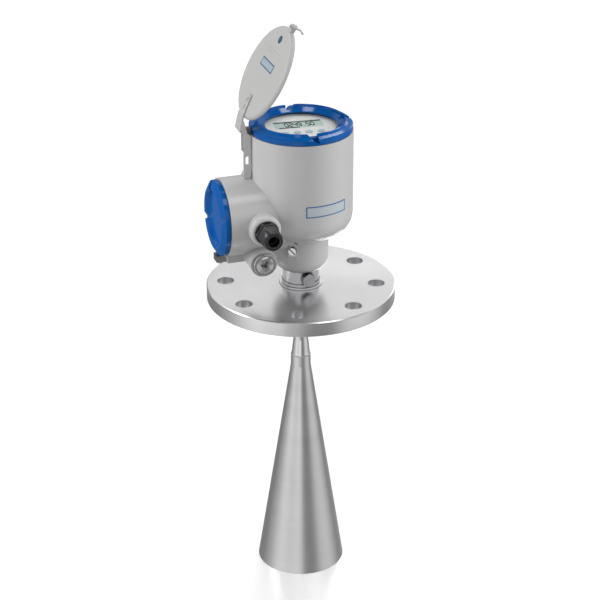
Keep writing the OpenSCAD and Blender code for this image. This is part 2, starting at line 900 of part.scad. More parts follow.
module blanking_plug() {
    color(bright)
        along_entry(entry_low_z)
            difference() {
                union() {
                    translate([0, 0, -13]) cylinder(d = entry_d, h = 13 + eps);
                    rotate_extrude() rounded_cap_outline(plug_d / 2, plug_h, 1.2);
                }
                // Dished face with a hexagon socket
                translate([0, 0, plug_h + plug_dish_r - 1.8]) sphere(r = plug_dish_r, $fn = 96);
                translate([0, 0, plug_h - 8]) cylinder(d = 8 / cos(30), h = 10, $fn = 6);
            }
}

module rounded_cap_outline(r, h, round) {
    square([r, h - round]);
    square([r - round, h]);
    translate([r - round, h - round]) circle(round);
}

// ---------------------------------------------------------------- weather shade

module cheek_outline(foot_z) {
    translate([-pin_x, pin_z]) circle(eye_r);
    polygon([
        [-pin_x - eye_r * 0.72, pin_z - eye_r * 0.7],
        [bracket_x, foot_z + 1], [bracket_x, foot_z],
        [bracket_x + bracket_l, foot_z], [-pin_x + eye_r * 0.8, pin_z - eye_r * 0.6]
    ]);
}

// Folded bracket: a slotted strap up from the terminal chamber, a channel and two eyes
module shade_bracket() {
    color("DarkGray")
        difference() {
            union() {
                for (side = [-1, 1])
                    translate([0, side * (bracket_gap + sheet) / 2 + sheet / 2, 0])
                        rotate([90, 0, 0])
                            linear_extrude(height = sheet) cheek_outline(channel_top);
                // Channel
                translate([bracket_x, -cheek_out, channel_foot])
                    cube([sheet, 2 * cheek_out, channel_top - channel_foot]);
                for (side = [-1, 1])
                    translate([bracket_x, side * (bracket_gap + sheet) / 2 - sheet / 2, channel_foot])
                        cube([bracket_l, sheet, channel_top - channel_foot]);
                // Strap with the slot, on the side of the cable entries
                translate([bracket_x, -cheek_out, bracket_seat])
                    cube([bracket_l, sheet, channel_foot - bracket_seat + eps]);
                // Foot that is screwed to the terminal chamber
                translate([bracket_x, -cheek_out, bracket_seat])
                    cube([bracket_l, 2 * cheek_out, sheet]);
            }
            translate([-pin_x, 0, pin_z]) rotate([90, 0, 0])
                cylinder(r = pin_d / 2 + run_gap, h = 4 * cheek_out, center = true);
            translate([bracket_x + bracket_l / 2, 0, channel_foot - 4 - slot_l]) strap_slot();
            bracket_screw_places() translate([0, 0, -1]) cylinder(d = bracket_screw_d, h = sheet + 2);
        }
}

module strap_slot() {
    translate([-slot_w / 2, -2 * cheek_out, slot_w / 2]) cube([slot_w, 2 * cheek_out, slot_l - slot_w]);
    for (z = [slot_w / 2, slot_l - slot_w / 2])
        translate([0, 0, z]) rotate([90, 0, 0]) cylinder(d = slot_w, h = 2 * cheek_out);
}

module bracket_screw_places() {
    translate([bracket_x + bracket_l / 2, 1.5, bracket_seat]) children();
}

module bracket_screws() {
    color(steel)
        bracket_screw_places() {
            translate([0, 0, -bracket_screw_l])
                cylinder(d = bracket_screw_d, h = bracket_screw_l + sheet + 1);
            translate([0, 0, sheet])
                difference() {
                    cylinder(r = bracket_screw_d * 0.95, h = bracket_screw_d * 0.8);
                    translate([0, 0, 1.4]) cylinder(d = 2.5 / cos(30), h = 4, $fn = 6);
                }
        }
}

// Rubber buffer that the leaf leans on
module hinge_buffer() {
    color("SaddleBrown")
        translate([bracket_x + sheet, -bracket_gap / 2, pin_z + 1.5 - buffer_h])
            cube([bracket_l - sheet, bracket_gap, buffer_h]);
}

module hinge_pin() {
    color(bright)
        on_shade()
            rotate([90, 0, 0]) {
                cylinder(d = pin_d, h = 2 * leaf_out + 2, center = true);
                for (side = [-1, 1])
                    translate([0, 0, side * (leaf_out + 0.7)])
                        cylinder(r = pin_d / 2 + 0.8, h = 1.4, center = true);
            }
}

module shade_leaf() {
    top = shade_face + leaf_t;
    color(paint)
        on_shade()
            difference() {
                union() {
                    intersection() {
                        // Side view: sloping up from the pin, then flat on the shade
                        rotate([90, 0, 0])
                            linear_extrude(height = 2 * leaf_out + 2, center = true)
                                polygon([
                                    [leaf_start, leaf_start_v - leaf_t], [leaf_start, leaf_start_v],
                                    [leaf_joggle, top], [leaf_l, top],
                                    [leaf_l, shade_face], [leaf_joggle, shade_face]
                                ]);
                        // Plan: tapering towards the middle of the shade
                        translate([0, 0, -1]) linear_extrude(height = top + 2)
                            polygon([
                                [-eye_r - 1, -leaf_out], [leaf_bend, -leaf_out],
                                [leaf_l + 1, -leaf_tip_w / 2],
                                [leaf_l + 1, leaf_tip_w / 2], [leaf_bend, leaf_out], [-eye_r - 1, leaf_out]
                            ]);
                    }
                    // Cheeks down to the pin
                    for (side = [-1, 1])
                        translate([0, side * (leaf_in + leaf_out) / 2 + sheet / 2, 0])
                            rotate([90, 0, 0])
                                linear_extrude(height = sheet) {
                                    circle(eye_r);
                                    polygon([
                                        [leaf_start - 0.6, 0], [leaf_start + 0.1, leaf_start_v - 0.6],
                                        [leaf_bend - 2, shade_face - 0.4],
                                        [leaf_bend - 2, shade_face - 2.5], [eye_r * 0.8, -eye_r * 0.5]
                                    ]);
                                }
                }
                rotate([90, 0, 0]) cylinder(d = pin_d, h = 4 * leaf_out, center = true);
                shade_rivet_places() cylinder(r = rivet_r, h = 20, center = true);
            }
}

module shade_rivet_places() {
    for (u = [rivet_u, rivet_u + rivet_pitch])
        translate([u, 0, shade_face]) children();
}

module shade_rivets() {
    color(steel)
        on_shade()
            shade_rivet_places() {
                translate([0, 0, -shade_wall]) cylinder(r = rivet_r, h = shade_wall + leaf_t + eps);
                translate([0, 0, leaf_t]) cylinder(r = rivet_r + 0.8, h = 0.6);
            }
}

module shade_outline(r, top, foot, round) {
    intersection() {
        union() {
            translate([0, foot]) square([r, top - foot - round]);
            translate([0, foot]) square([r - round, top - foot]);
            translate([r - round, top - round]) circle(round);
        }
        translate([0, foot]) square([r, top - foot]);
    }
}

module weather_shade() {
    r = shade_d / 2;
    foot = shade_face - shade_h;
    color(paint)
        on_shade()
            difference() {
                union() {
                    translate([pin_x, 0, 0])
                        rotate_extrude()
                            difference() {
                                shade_outline(r, shade_face, foot, shade_round);
                                shade_outline(
                                    r - shade_wall, shade_face - shade_wall, foot - 1, shade_round - shade_wall
                                );
                            }
                    // Ear for the catch beside the free edge
                    at_latch() translate([0, 0, foot]) cylinder(r = latch_boss_r, h = latch_boss_h);
                    at_latch() translate([r - shade_wall / 2 - latch_r, -latch_boss_r + 0.6, foot])
                        cube([latch_r - r + shade_wall / 2, 2 * latch_boss_r - 1.2, latch_boss_h - 1]);
                }
                at_latch() translate([0, 0, foot - 1])
                    cylinder(r = latch_rod_d / 2 + run_gap, h = latch_boss_h + 2);
                shade_rivet_places() cylinder(r = rivet_r, h = 20, center = true);
            }
}

// Upright axis of the turning catch, its local +Y along the edge of the shade
module at_latch() {
    translate([pin_x, 0, 0]) rotate([0, 0, -latch_bearing]) translate([latch_r, 0, 0]) children();
}

module shade_latch() {
    foot = shade_face - shade_h;
    head = foot + latch_boss_h + 0.2;
    color(steel)
        on_shade()
            at_latch() {
                translate([0, 0, head - latch_reach]) cylinder(d = latch_rod_d, h = latch_reach);
                translate([0, 0, head - eps]) cylinder(r = latch_head_r, h = 1.2);
                translate([0, 0, head - latch_reach]) rotate([90, 0, 0])
                    cylinder(d = latch_rod_d - 0.2, h = latch_bar_l);
            }
}

flange();
process_stub();
process_window();
stub_seal();
horn_throat();
antenna_horn();
swivel_sleeve();
locking_bolt();
housing();
earth_clamp();
earth_screw();
electronics_unit();
display_board();
display_module();
lcd_panel();
key_1();
key_2();
key_3();
key_4();
display_cover();
display_glass();
glass_retainer();
display_seal();
terminal_cover();
terminal_seal();
terminal_block();
terminal_screws();
inner_earth_screw();
cover_lock();
cover_lock_screw();
gland_washer();
gland_body();
gland_seal();
gland_nut();
plug_washer();
blanking_plug();
shade_bracket();
bracket_screws();
hinge_buffer();
hinge_pin();
shade_leaf();
shade_rivets();
weather_shade();
shade_latch();
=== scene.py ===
"""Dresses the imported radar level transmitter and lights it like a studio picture.

Each sub-assembly is a class that holds its sizes in metres, builds its own fine
pieces as numpy surfaces and dresses the solids that it owns with finishes.
"""

from __future__ import annotations

import json
import logging
import math
from abc import ABC, abstractmethod
from dataclasses import dataclass
from enum import Enum
from typing import Sequence

import bmesh
import bpy
import numpy as np
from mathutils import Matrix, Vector

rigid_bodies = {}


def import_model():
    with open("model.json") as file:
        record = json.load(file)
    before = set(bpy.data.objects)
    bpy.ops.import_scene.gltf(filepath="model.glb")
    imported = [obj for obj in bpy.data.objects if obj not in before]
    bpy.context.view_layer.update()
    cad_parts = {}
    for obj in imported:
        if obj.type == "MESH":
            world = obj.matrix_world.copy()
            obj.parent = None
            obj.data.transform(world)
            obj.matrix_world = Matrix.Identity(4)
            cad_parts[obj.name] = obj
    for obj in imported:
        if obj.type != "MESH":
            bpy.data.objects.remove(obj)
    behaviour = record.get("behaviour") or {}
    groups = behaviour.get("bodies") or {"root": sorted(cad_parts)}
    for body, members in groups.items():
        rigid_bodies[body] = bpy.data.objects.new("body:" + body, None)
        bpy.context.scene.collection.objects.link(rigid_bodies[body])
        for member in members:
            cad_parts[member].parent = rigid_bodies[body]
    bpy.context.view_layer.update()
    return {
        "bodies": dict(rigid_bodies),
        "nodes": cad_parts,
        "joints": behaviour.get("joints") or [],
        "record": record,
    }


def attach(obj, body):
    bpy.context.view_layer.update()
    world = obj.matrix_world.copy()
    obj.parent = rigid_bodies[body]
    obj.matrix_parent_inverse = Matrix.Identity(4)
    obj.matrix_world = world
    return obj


LOG = logging.getLogger("transmitter")
Colour = tuple[float, float, float]
Point = tuple[float, float, float]
Bar = tuple[tuple[float, float], tuple[float, float]]
Socket = bpy.types.NodeSocket
Material = bpy.types.Material
Mesh = tuple[np.ndarray, list[list[int]]]
MappedMesh = tuple[np.ndarray, list[list[int]], np.ndarray]
Pieces = list[bpy.types.Object]
# Near-black that metals blend to in their corners: painted shade.
PAINTED_SHADE: Colour = (0.05, 0.048, 0.045)
BEVEL_SAMPLES = 4
CORNER_SAMPLES = 8
EDGE_LIMITS = (0.02, 0.22)
CORNER_LIMITS = (0.2, 0.7)


def neutral(level: float) -> Colour:
    """Gives the neutral colour of a level."""
    return (level, level, level)


WHITE = neutral(1.0)


# ------------------------------------------------------------------ node trees


class Lay(Enum):
    """How the fine marks of a metal surface run."""

    TURNED = "rings and lines left by a lathe about the upright axis"
    RANDOM = "an even blasted or tumbled surface"
    ACROSS = "fine lines drawn across a folded sheet"


class Nodes:
    """A node tree under construction, with the steps that every tree here uses."""

    def __init__(self, tree: bpy.types.NodeTree) -> None:
        """Takes the tree to build in.

        Args:
            tree: The node tree of a material or world.
        """
        self.tree = tree

    def node(self, kind: str, **settings: object) -> bpy.types.Node:
        """Adds a node.

        Args:
            kind: The node's type name, without its usual beginning.
            **settings: Attributes to set on it.

        Returns:
            The new node.
        """
        made = self.tree.nodes.new("ShaderNode" + kind)
        for key, value in settings.items():
            setattr(made, key, value)
        return made

    def feed(self, socket: Socket, value: object) -> None:
        """Links an output to a socket, or sets the socket to a plain value.

        Args:
            socket: The socket that takes it.
            value: An output, a number or a tuple of numbers.
        """
        if isinstance(value, Socket):
            self.tree.links.new(value, socket)
        else:
            socket.default_value = value

    def reckon(self, kind: str, *values: object) -> Socket:
        """Works out one step of arithmetic.

        Args:
            kind: The operation's name.
            *values: Numbers or outputs.

        Returns:
            The result.
        """
        made = self.node("Math", operation=kind)
        for socket, value in zip(made.inputs, values):
            self.feed(socket, value)
        return made.outputs[0]

    def weigh(self, first: object, weight: float, second: object, other: float) -> Socket:
        """Adds two values, each times its weight.

        Args:
            first: An output.
            weight: The weight of the first.
            second: An output.
            other: The weight of the second.

        Returns:
            The sum.
        """
        share = self.reckon("MULTIPLY", first, weight)
        return self.reckon("ADD", share, self.reckon("MULTIPLY", second, other))

    def spread(
        self, value: object, low: float, high: float, start: float = 0.0, end: float = 1.0, soft: bool = False
    ) -> Socket:
        """Maps start to end onto low to high, and holds the last value beyond them.

        Args:
            value: The value to map.
            low: Result at the start.
            high: Result at the end.
            start: Where the change starts.
            end: Where it ends.
            soft: Whether it starts and ends softly.

        Returns:
            The mapped value.
        """
        made = self.node("MapRange", interpolation_type="SMOOTHSTEP" if soft else "LINEAR")
        self.feed(made.inputs["Value"], value)
        limits = {"From Min": start, "From Max": end, "To Min": low, "To Max": high}
        for name, limit in limits.items():
            made.inputs[name].default_value = limit
        return made.outputs["Result"]

    def rise(self, value: object, start: float, end: float) -> Socket:
        """Gives 0 up to start and 1 from end on, with a soft rise between them."""
        return self.spread(value, 0.0, 1.0, start, end, True)

    def blend(self, share: object, first: object, second: object) -> Socket:
        """Mixes two colours.

        Args:
            share: How much of the second is used.
            first: A colour or output.
            second: A colour or output.

        Returns:
            The mixed colour.
        """
        made = self.node("Mix", data_type="RGBA")
        self.feed(made.inputs[0], share)
        for socket, value in ((made.inputs[6], first), (made.inputs[7], second)):
            self.feed(socket, (*value, 1.0) if isinstance(value, tuple) else value)
        return made.outputs[2]


class Shader(Nodes):
    """A material under construction: its node tree and its surface shader."""

    def __init__(self, name: str) -> None:
        """Makes an empty material with one surface shader.

        Args:
            name: The material's name.
        """
        self.material = bpy.data.materials.new(name)
        self.material.use_nodes = True
        super().__init__(self.material.node_tree)
        self.surface = self.tree.nodes["Principled BSDF"]
        self.position = self.node("TexCoord").outputs["Object"]

    def put(self, **values: object) -> None:
        """Feeds inputs of the surface shader, with spaces written as underscores."""
        for key, value in values.items():
            self.feed(self.surface.inputs[key.replace("_", " ")], value)

    def noise(self, scale: float, detail: float = 3.0, place: object = None) -> Socket:
        """Gives cloudy values from 0 to 1.

        Args:
            scale: Cells for each metre.
            detail: Layers of finer cells.
            place: Where to read, or None for the object's own coordinates.

        Returns:
            The cloud's value.
        """
        made = self.node("TexNoise")
        self.feed(made.inputs["Vector"], place or self.position)
        made.inputs["Scale"].default_value = scale
        made.inputs["Detail"].default_value = detail
        return made.outputs["Fac"]

    def around(self, value: object, middle: float, away: float) -> Socket:
        """Maps 0 to 1 onto the middle less away to the middle and away."""
        return self.spread(value, middle - away, middle + away)

    def mottle(self, value: object, dark: Colour, light: Colour) -> Socket:
        """Blends softly from a darker to a lighter colour as the value goes from 0 to 1."""
        return self.blend(self.rise(value, 0.0, 1.0), dark, light)

    def relief(self, height: object, depth: float, edge: float = 0.0) -> None:
        """Raises the surface by a height, with edges seen as if rounded.

        Args:
            height: Height from 0 to 1.
            depth: Depth of the relief in metres.
            edge: Radius that sharp edges look rounded to.
        """
        made = self.node("Bump")
        made.inputs["Strength"].default_value = 1.0
        made.inputs["Distance"].default_value = depth
        self.feed(made.inputs["Height"], height)
        if edge:
            self.feed(made.inputs["Normal"], self.rounded(edge))
        self.feed(self.surface.inputs["Normal"], made.outputs[0])

    def rounded(self, radius: float) -> Socket:
        """Gives the direction that the surface would face if its edges were rounded.

        Args:
            radius: Radius of the rounding.

        Returns:
            The rounded normal.
        """
        made = self.node("Bevel", samples=BEVEL_SAMPLES)
        made.inputs["Radius"].default_value = radius
        return made.outputs[0]

    def edge_share(self, radius: float) -> Socket:
        """Tells how near a sharp edge the surface is.

        The share rises between the edge limits with 1 less the cosine between the
        rounded normal and the true normal.

        Args:
            radius: Distance over which an edge counts.

        Returns:
            About 0 on open faces and up to 1 on edges.
        """
        dot = self.node("VectorMath", operation="DOT_PRODUCT")
        self.feed(dot.inputs[0], self.rounded(radius))
        self.feed(dot.inputs[1], self.node("NewGeometry").outputs["True Normal"])
        return self.rise(self.reckon("SUBTRACT", 1.0, dot.outputs["Value"]), *EDGE_LIMITS)

    def corner_share(self, reach: float) -> Socket:
        """Tells how deep in a corner the surface is.

        The share rises between the corner limits with the part of the sky that
        neighbouring surfaces hide.

        Args:
            reach: Distance within which a neighbouring surface counts.

        Returns:
            0 on open faces and up to 1 in narrow corners.
        """
        corner = self.node("AmbientOcclusion", samples=CORNER_SAMPLES)
        corner.inputs["Distance"].default_value = reach
        return self.rise(self.reckon("SUBTRACT", 1.0, corner.outputs["AO"]), *CORNER_LIMITS)

    def polar(self) -> Socket:
        """Gives a place whose noise runs in rings about the upright axis.

        Its first part is the distance from the axis, the root of x squared and y
        squared added, its second part the height, and its third part 0.

        Returns:
            The place.
        """
        parts = self.node("SeparateXYZ")
        self.feed(parts.inputs[0], self.position)
        x, y, z = parts.outputs
        square = self.reckon("ADD", self.reckon("MULTIPLY", x, x), self.reckon("MULTIPLY", y, y))
        joined = self.node("CombineXYZ")
        self.feed(joined.inputs[0], self.reckon("SQRT", square))
        self.feed(joined.inputs[1], z)
        return joined.outputs[0]


# ------------------------------------------------------------------ finishes


@dataclass(frozen=True)
class Finish(ABC):
    """A finish with a name, which can be made into a material."""

    name: str

    def make(self) -> Material:
        """Makes a material with this finish.

        Returns:
            The material.
        """
        s = Shader(self.name)
        self.lay_on(s)
        return s.material

    @abstractmethod
    def lay_on(self, s: Shader) -> None:
        """Feeds the inputs of a material's surface shader.

        Args:
            s: The material under construction.
        """


def shades(colour: Colour, dark: float, light: float) -> tuple[Colour, Colour]:
    """Gives a darker and a lighter tone of a colour.

    Args:
        colour: The colour.
        dark: Factor of the darker tone.
        light: Factor of the lighter tone, which stays at 1 or below.

    Returns:
        Both tones.
    """
    return tuple(c * dark for c in colour), tuple(min(1.0, c * light) for c in colour)


@dataclass(frozen=True)
class Paint(Finish):
    """Powder paint on a casting: fine orange peel, faint mottling, and sharp edges lightened, partly as wear
    and partly as painted highlight.
    """

    colour: Colour
    roughness: float = 0.34
    coat: float = 0.25
    gloss: float = 0.12
    specular: float = 0.5
    mirror: Colour = WHITE
    wear_and_highlight: Colour = neutral(0.62)
    wear_and_highlight_reach: float = 0.0006
    wear_and_highlight_share: float = 0.45
    cloud: float = 14.0
    tones: tuple[float, float] = (0.93, 1.05)
    uneven: float = 0.07
    peel: float = 650.0
    relief: float = 0.00006
    edge: float = 0.0005

    def lay_on(self, s: Shader) -> None:
        """Lays on the paint.

        Args:
            s: The material under construction.
        """
        cloud = s.noise(self.cloud, 4.0)
        fine = s.noise(self.peel * 3.0, 2.0)
        body = s.blend(s.spread(cloud, 0.1, 0.9, soft=True), *shades(self.colour, *self.tones))
        # Sharp edges blend to a lighter colour: partly wear, partly painted highlight.
        wear_and_highlight = s.reckon("MULTIPLY", s.edge_share(self.wear_and_highlight_reach), self.wear_and_highlight_share)
        s.put(Base_Color=s.blend(wear_and_highlight, body, self.wear_and_highlight), Coat_Weight=self.coat, Coat_Roughness=self.gloss)
        s.put(Specular_IOR_Level=self.specular, Specular_Tint=(*self.mirror, 1.0))
        s.put(Roughness=s.around(s.weigh(cloud, 0.6, fine, 0.4), self.roughness, self.uneven))
        height = s.reckon("ADD", s.noise(self.peel, 2.0), s.reckon("MULTIPLY", fine, 0.25))
        s.relief(height, self.relief, self.edge)


@dataclass(frozen=True)
class Metal(Finish):
    """Bare metal with the marks of its last tool, stains, and painted shade in its corners."""

    colour: Colour
    roughness: float
    lay: Lay = Lay.RANDOM
    density: float = 2500.0
    relief: float = 0.00001
    anisotropy: float = 0.0
    edge: float = 0.0003
    stain: float = 0.08
    corner_shade_reach: float = 0.0
    cloud: float = 22.0
    uneven: float = 0.25
    drawn: tuple[float, float, float] = (1.0, 0.04, 1.0)

    def marks(self, s: Shader) -> tuple[Socket, Socket]:
        """Lays the tool's marks.

        Args:
            s: The material under construction.

        Returns:
            Fine marks and broad bands, both from 0 to 1.
        """
        if self.lay is Lay.RANDOM:
            return s.noise(self.density, 4.0), s.noise(self.density / 20.0)
        if self.lay is Lay.TURNED:
            place = s.polar()
        else:
            stretch = s.node("Mapping")
            s.feed(stretch.inputs["Vector"], s.position)
            stretch.inputs["Scale"].default_value = self.drawn
            place = stretch.outputs[0]
        return s.noise(self.density, place=place), s.noise(self.density / 14.0, place=place)

    def lay_on(self, s: Shader) -> None:
        """Lays on the metal's colour, marks and painted shade in its corners.

        Args:
            s: The material under construction.
        """
        marks, broad = self.marks(s)
        cloud = s.noise(self.cloud, 4.0)
        tones = shades(self.colour, 1.0 - self.stain * 1.6, 1.0 + self.stain)
        steel = s.mottle(s.weigh(broad, 0.6, cloud, 0.4), *tones)
        # Painted shade: the metal darkens towards near-black in corners, by ambient occlusion.
        if self.corner_shade_reach:
            steel = s.blend(s.corner_share(self.corner_shade_reach), steel, PAINTED_SHADE)
        s.put(Base_Color=steel, Metallic=1.0)
        away = self.roughness * self.uneven
        s.put(Roughness=s.around(s.weigh(marks, 0.5, cloud, 0.5), self.roughness, away))
        if self.anisotropy:
            s.put(Anisotropic=self.anisotropy)
            s.put(Tangent=s.node("Tangent", direction_type="RADIAL", axis="Z").outputs[0])
        s.relief(s.reckon("ADD", marks, s.reckon("MULTIPLY", broad, 2.0)), self.relief, self.edge)


@dataclass(frozen=True)
class Moulding(Finish):
    """Moulded plastic or rubber with a fine grain."""

    colour: Colour
    roughness: float = 0.5
    grain: float = 1800.0
    relief: float = 0.00004
    specular: float = 0.5
    variation: float = 0.12
    cloud: float = 40.0
    uneven: float = 0.06
    edge: float = 0.0003

    def lay_on(self, s: Shader) -> None:
        """Lays on the moulding's colour and grain.

        Args:
            s: The material under construction.
        """
        fine = s.noise(self.grain)
        cloud = s.noise(self.cloud)
        tones = shades(self.colour, 1.0 - self.variation, 1.0 + self.variation)
        tone = s.mottle(s.weigh(fine, 0.4, cloud, 0.6), *tones)
        s.put(Base_Color=tone, Specular_IOR_Level=self.specular)
        s.put(Roughness=s.around(cloud, self.roughness, self.uneven))
        s.relief(fine, self.relief, self.edge)


@dataclass(frozen=True)
class Window(Finish):
    """Clear hardened glass, seen mostly by what it mirrors."""

    tint: Colour = (0.90, 0.95, 0.96)
    cover: float = 0.035
    roughness: tuple[float, float] = (0.015, 0.05)
    smear: float = 60.0
    wave: float = 30.0
    ripple: float = 0.000004

    def lay_on(self, s: Shader) -> None:
        """Lays on a tinted mirror that covers a small share of what lies below.

        Args:
            s: The material under construction.
        """
        s.put(Base_Color=(*self.tint, 1.0), Metallic=1.0, Alpha=self.cover)
        s.put(Roughness=s.spread(s.noise(self.smear), *self.roughness))
        s.relief(s.noise(self.wave, 1.0), self.ripple)


@dataclass(frozen=True)
class Bordered(Finish):
    """A printed field with a border, read from the piece's own map of 0 to 1."""

    fill: Colour
    line: Colour
    border: tuple[float, float] = (0.02, 0.08)
    soft: float = 0.35
    grain: float = 900.0
    roughness: float = 0.42
    uneven: float = 0.05
    coat: float = 0.2
    relief: float = 0.000008

    def lay_on(self, s: Shader) -> None:
        """Lays on the print.

        The border starts where the distance from the field's middle passes half the
        field less the border's width, eased over a share of that width.

        Args:
            s: The material under construction.
        """
        parts = s.node("SeparateXYZ")
        s.feed(parts.inputs[0], s.node("UVMap", uv_map="plan").outputs[0])
        edges = []
        for output, width in zip(parts.outputs[:2], self.border):
            away = s.reckon("ABSOLUTE", s.reckon("SUBTRACT", output, 0.5))
            inside, half = 0.5 - width, self.soft * width / 2
            edges.append(s.rise(away, inside - half, inside + half))
        ink = s.noise(self.grain, 2.0)
        faded = s.reckon("MULTIPLY", s.reckon("MAXIMUM", *edges), s.spread(ink, 0.85, 1.0))
        s.put(Base_Color=s.blend(faded, self.fill, self.line), Coat_Weight=self.coat)
        s.put(Roughness=s.around(ink, self.roughness, self.uneven))
        s.relief(ink, self.relief)


# ------------------------------------------------------------------ surfaces


@dataclass(frozen=True)
class Plane:
    """A place with three directions, into which a flat shape is set."""

    origin: Point
    first: Point
    second: Point
    normal: Point

    def place(self, plan: np.ndarray) -> np.ndarray:
        """Sets points of the plan into the part's frame.

        Each point is origin + a first + b second + c normal.

        Args:
            plan: Array of (a, b, c) points, whose last axis has length 3.

        Returns:
            The points in the part's frame.
        """
        axes = np.array([self.first, self.second, self.normal])
        return np.asarray(self.origin) + plan @ axes


def grid_quads(rows: int, columns: int, wrap_rows: bool = False, wrap_columns: bool = False) -> np.ndarray:
    """Numbers the four corners of each cell of a grid.

    Args:
        rows: Points along the first parameter.
        columns: Points along the second parameter.
        wrap_rows: Whether the last row joins the first.
        wrap_columns: Whether the last column joins the first.

    Returns:
        One row of four point numbers for each cell.
    """
    i, j = np.meshgrid(
        np.arange(rows if wrap_rows else rows - 1),
        np.arange(columns if wrap_columns else columns - 1),
        indexing="ij",
    )
    i, j = i.ravel(), j.ravel()
    up, across = (i + 1) % rows, (j + 1) % columns
    return np.stack([i * columns + j, up * columns + j, up * columns + across, i * columns + across], axis=1)


def unit_grid(rows: int, columns: int) -> tuple[np.ndarray, np.ndarray]:
    """Gives two parameters that each run from 0 to 1 over a grid.

    Args:
        rows: Points along the first parameter.
        columns: Points along the second parameter.

    Returns:
        Both parameters, as arrays of rows by columns.
    """
    first, second = np.meshgrid(np.linspace(0, 1, rows), np.linspace(0, 1, columns), indexing="ij")
    return first, second


def whole_turn(count: int) -> np.ndarray:
    """Gives angles evenly spaced round a circle, in radians, the first of them 0."""
    return np.linspace(0, 2 * np.pi, count, endpoint=False)


def closed_sheet(front: np.ndarray, back: np.ndarray) -> Mesh:
    """Joins two grids of the same size into a thin closed plate.

    The rim runs round the four sides of the grid, and each of its edges is joined
    to the same edge of the other grid.

    Args:
        front: Points of the outer face, rows by columns by 3.
        back: Points of the inner face, the same size.

    Returns:
        All points, and the faces between them.
    """
    rows, columns = front.shape[:2]
    count = rows * columns
    quads = grid_quads(rows, columns)
    index = np.arange(count).reshape(rows, columns)
    rim = np.concatenate([index[0, :-1], index[:-1, -1], index[-1, :0:-1], index[:0:-1, 0]])
    following = np.roll(rim, -1)
    sides = np.stack([rim, rim + count, following + count, following], axis=1)
    faces = [*quads.tolist(), *(quads[:, ::-1] + count).tolist(), *sides.tolist()]
    return np.concatenate([front.reshape(-1, 3), back.reshape(-1, 3)]), faces


def sheet_map(first: np.ndarray, second: np.ndarray) -> np.ndarray:
    """Maps both faces of a closed sheet by the two parameters of its grid.

    Args:
        first: First parameter of each point of a face.
        second: Second parameter of each point of a face.

    Returns:
        Both parameters for each point of the sheet.
    """
    face = np.stack([first, second], axis=-1).reshape(-1, 2)
    return np.concatenate([face, face])


def flat_field(plane: Plane, size: tuple[float, float], thickness: float, cells: int) -> MappedMesh:
    """Makes a thin flat plate as a grid over its two sides.

    Args:
        plane: Its centre and directions.
        size: Its sizes along the first and the second direction.
        thickness: Height above the plane.
        cells: Cells along each side.

    Returns:
        Points, faces, and the place of each point on the field.
    """
    a, b = unit_grid(cells + 1, cells + 1)
    top = np.stack([(a - 0.5) * size[0], (b - 0.5) * size[1], np.full_like(a, thickness)], axis=-1)
    foot = top * (1.0, 1.0, 0.0)
    points, faces = closed_sheet(plane.place(top), plane.place(foot))
    return points, faces, sheet_map(a, b)


def round_field(plane: Plane, radius: float, thickness: float, around: int = 64) -> Mesh:
    """Makes a thin round plate from rings, its radius rising and then its edge falling.

    Each ring stands at a share of the radius and a share of the thickness.

    Args:
        plane: Its centre and directions.
        radius: Its radius.
        thickness: Its height.
        around: Points round a ring.

    Returns:
        Points and faces.
    """
    rings = np.array([[0.02, 1.0], [0.6, 1.0], [0.93, 1.0], [1.0, 0.6], [1.0, 0.0]])
    angle = whole_turn(around)
    r = rings[:, :1] * radius
    height = np.broadcast_to(rings[:, 1:] * thickness, (len(rings), around))
    plan = np.stack([r * np.cos(angle), r * np.sin(angle), height], axis=-1)
    faces = grid_quads(len(rings), around, wrap_columns=True).tolist()
    last = (len(rings) - 1) * around
    faces += [list(range(around))[::-1], list(range(last, last + around))]
    return plane.place(plan).reshape(-1, 3), faces


def oval_ring(
    plane: Plane,
    radius: float,
    half: tuple[float, float],
    points: tuple[int, int],
    swell: float = 0.0,
    waves: int = 0,
) -> Mesh:
    """Rings the plane's normal with an oval section that may swell in waves.

    At angle a round the ring, the section's point at angle t goes to the radius plus
    the half width times cos t times 1 + swell sin(waves a), and to the height of the
    half height times sin t.

    Args:
        plane: Its centre and directions.
        radius: Radius of the section's middle.
        half: Half width and half height of the section.
        points: Points round the section, and sections round the ring.
        swell: Share by which the width swells and shrinks.
        waves: Number of waves round the ring.

    Returns:
        Points and faces.
    """
    t, a = np.meshgrid(whole_turn(points[0]), whole_turn(points[1]), indexing="ij")
    r = radius + half[0] * np.cos(t) * (1.0 + swell * np.sin(waves * a))
    plan = np.stack([r * np.cos(a), r * np.sin(a), half[1] * np.sin(t)], axis=-1)
    return plane.place(plan).reshape(-1, 3), grid_quads(*points, True, True).tolist()


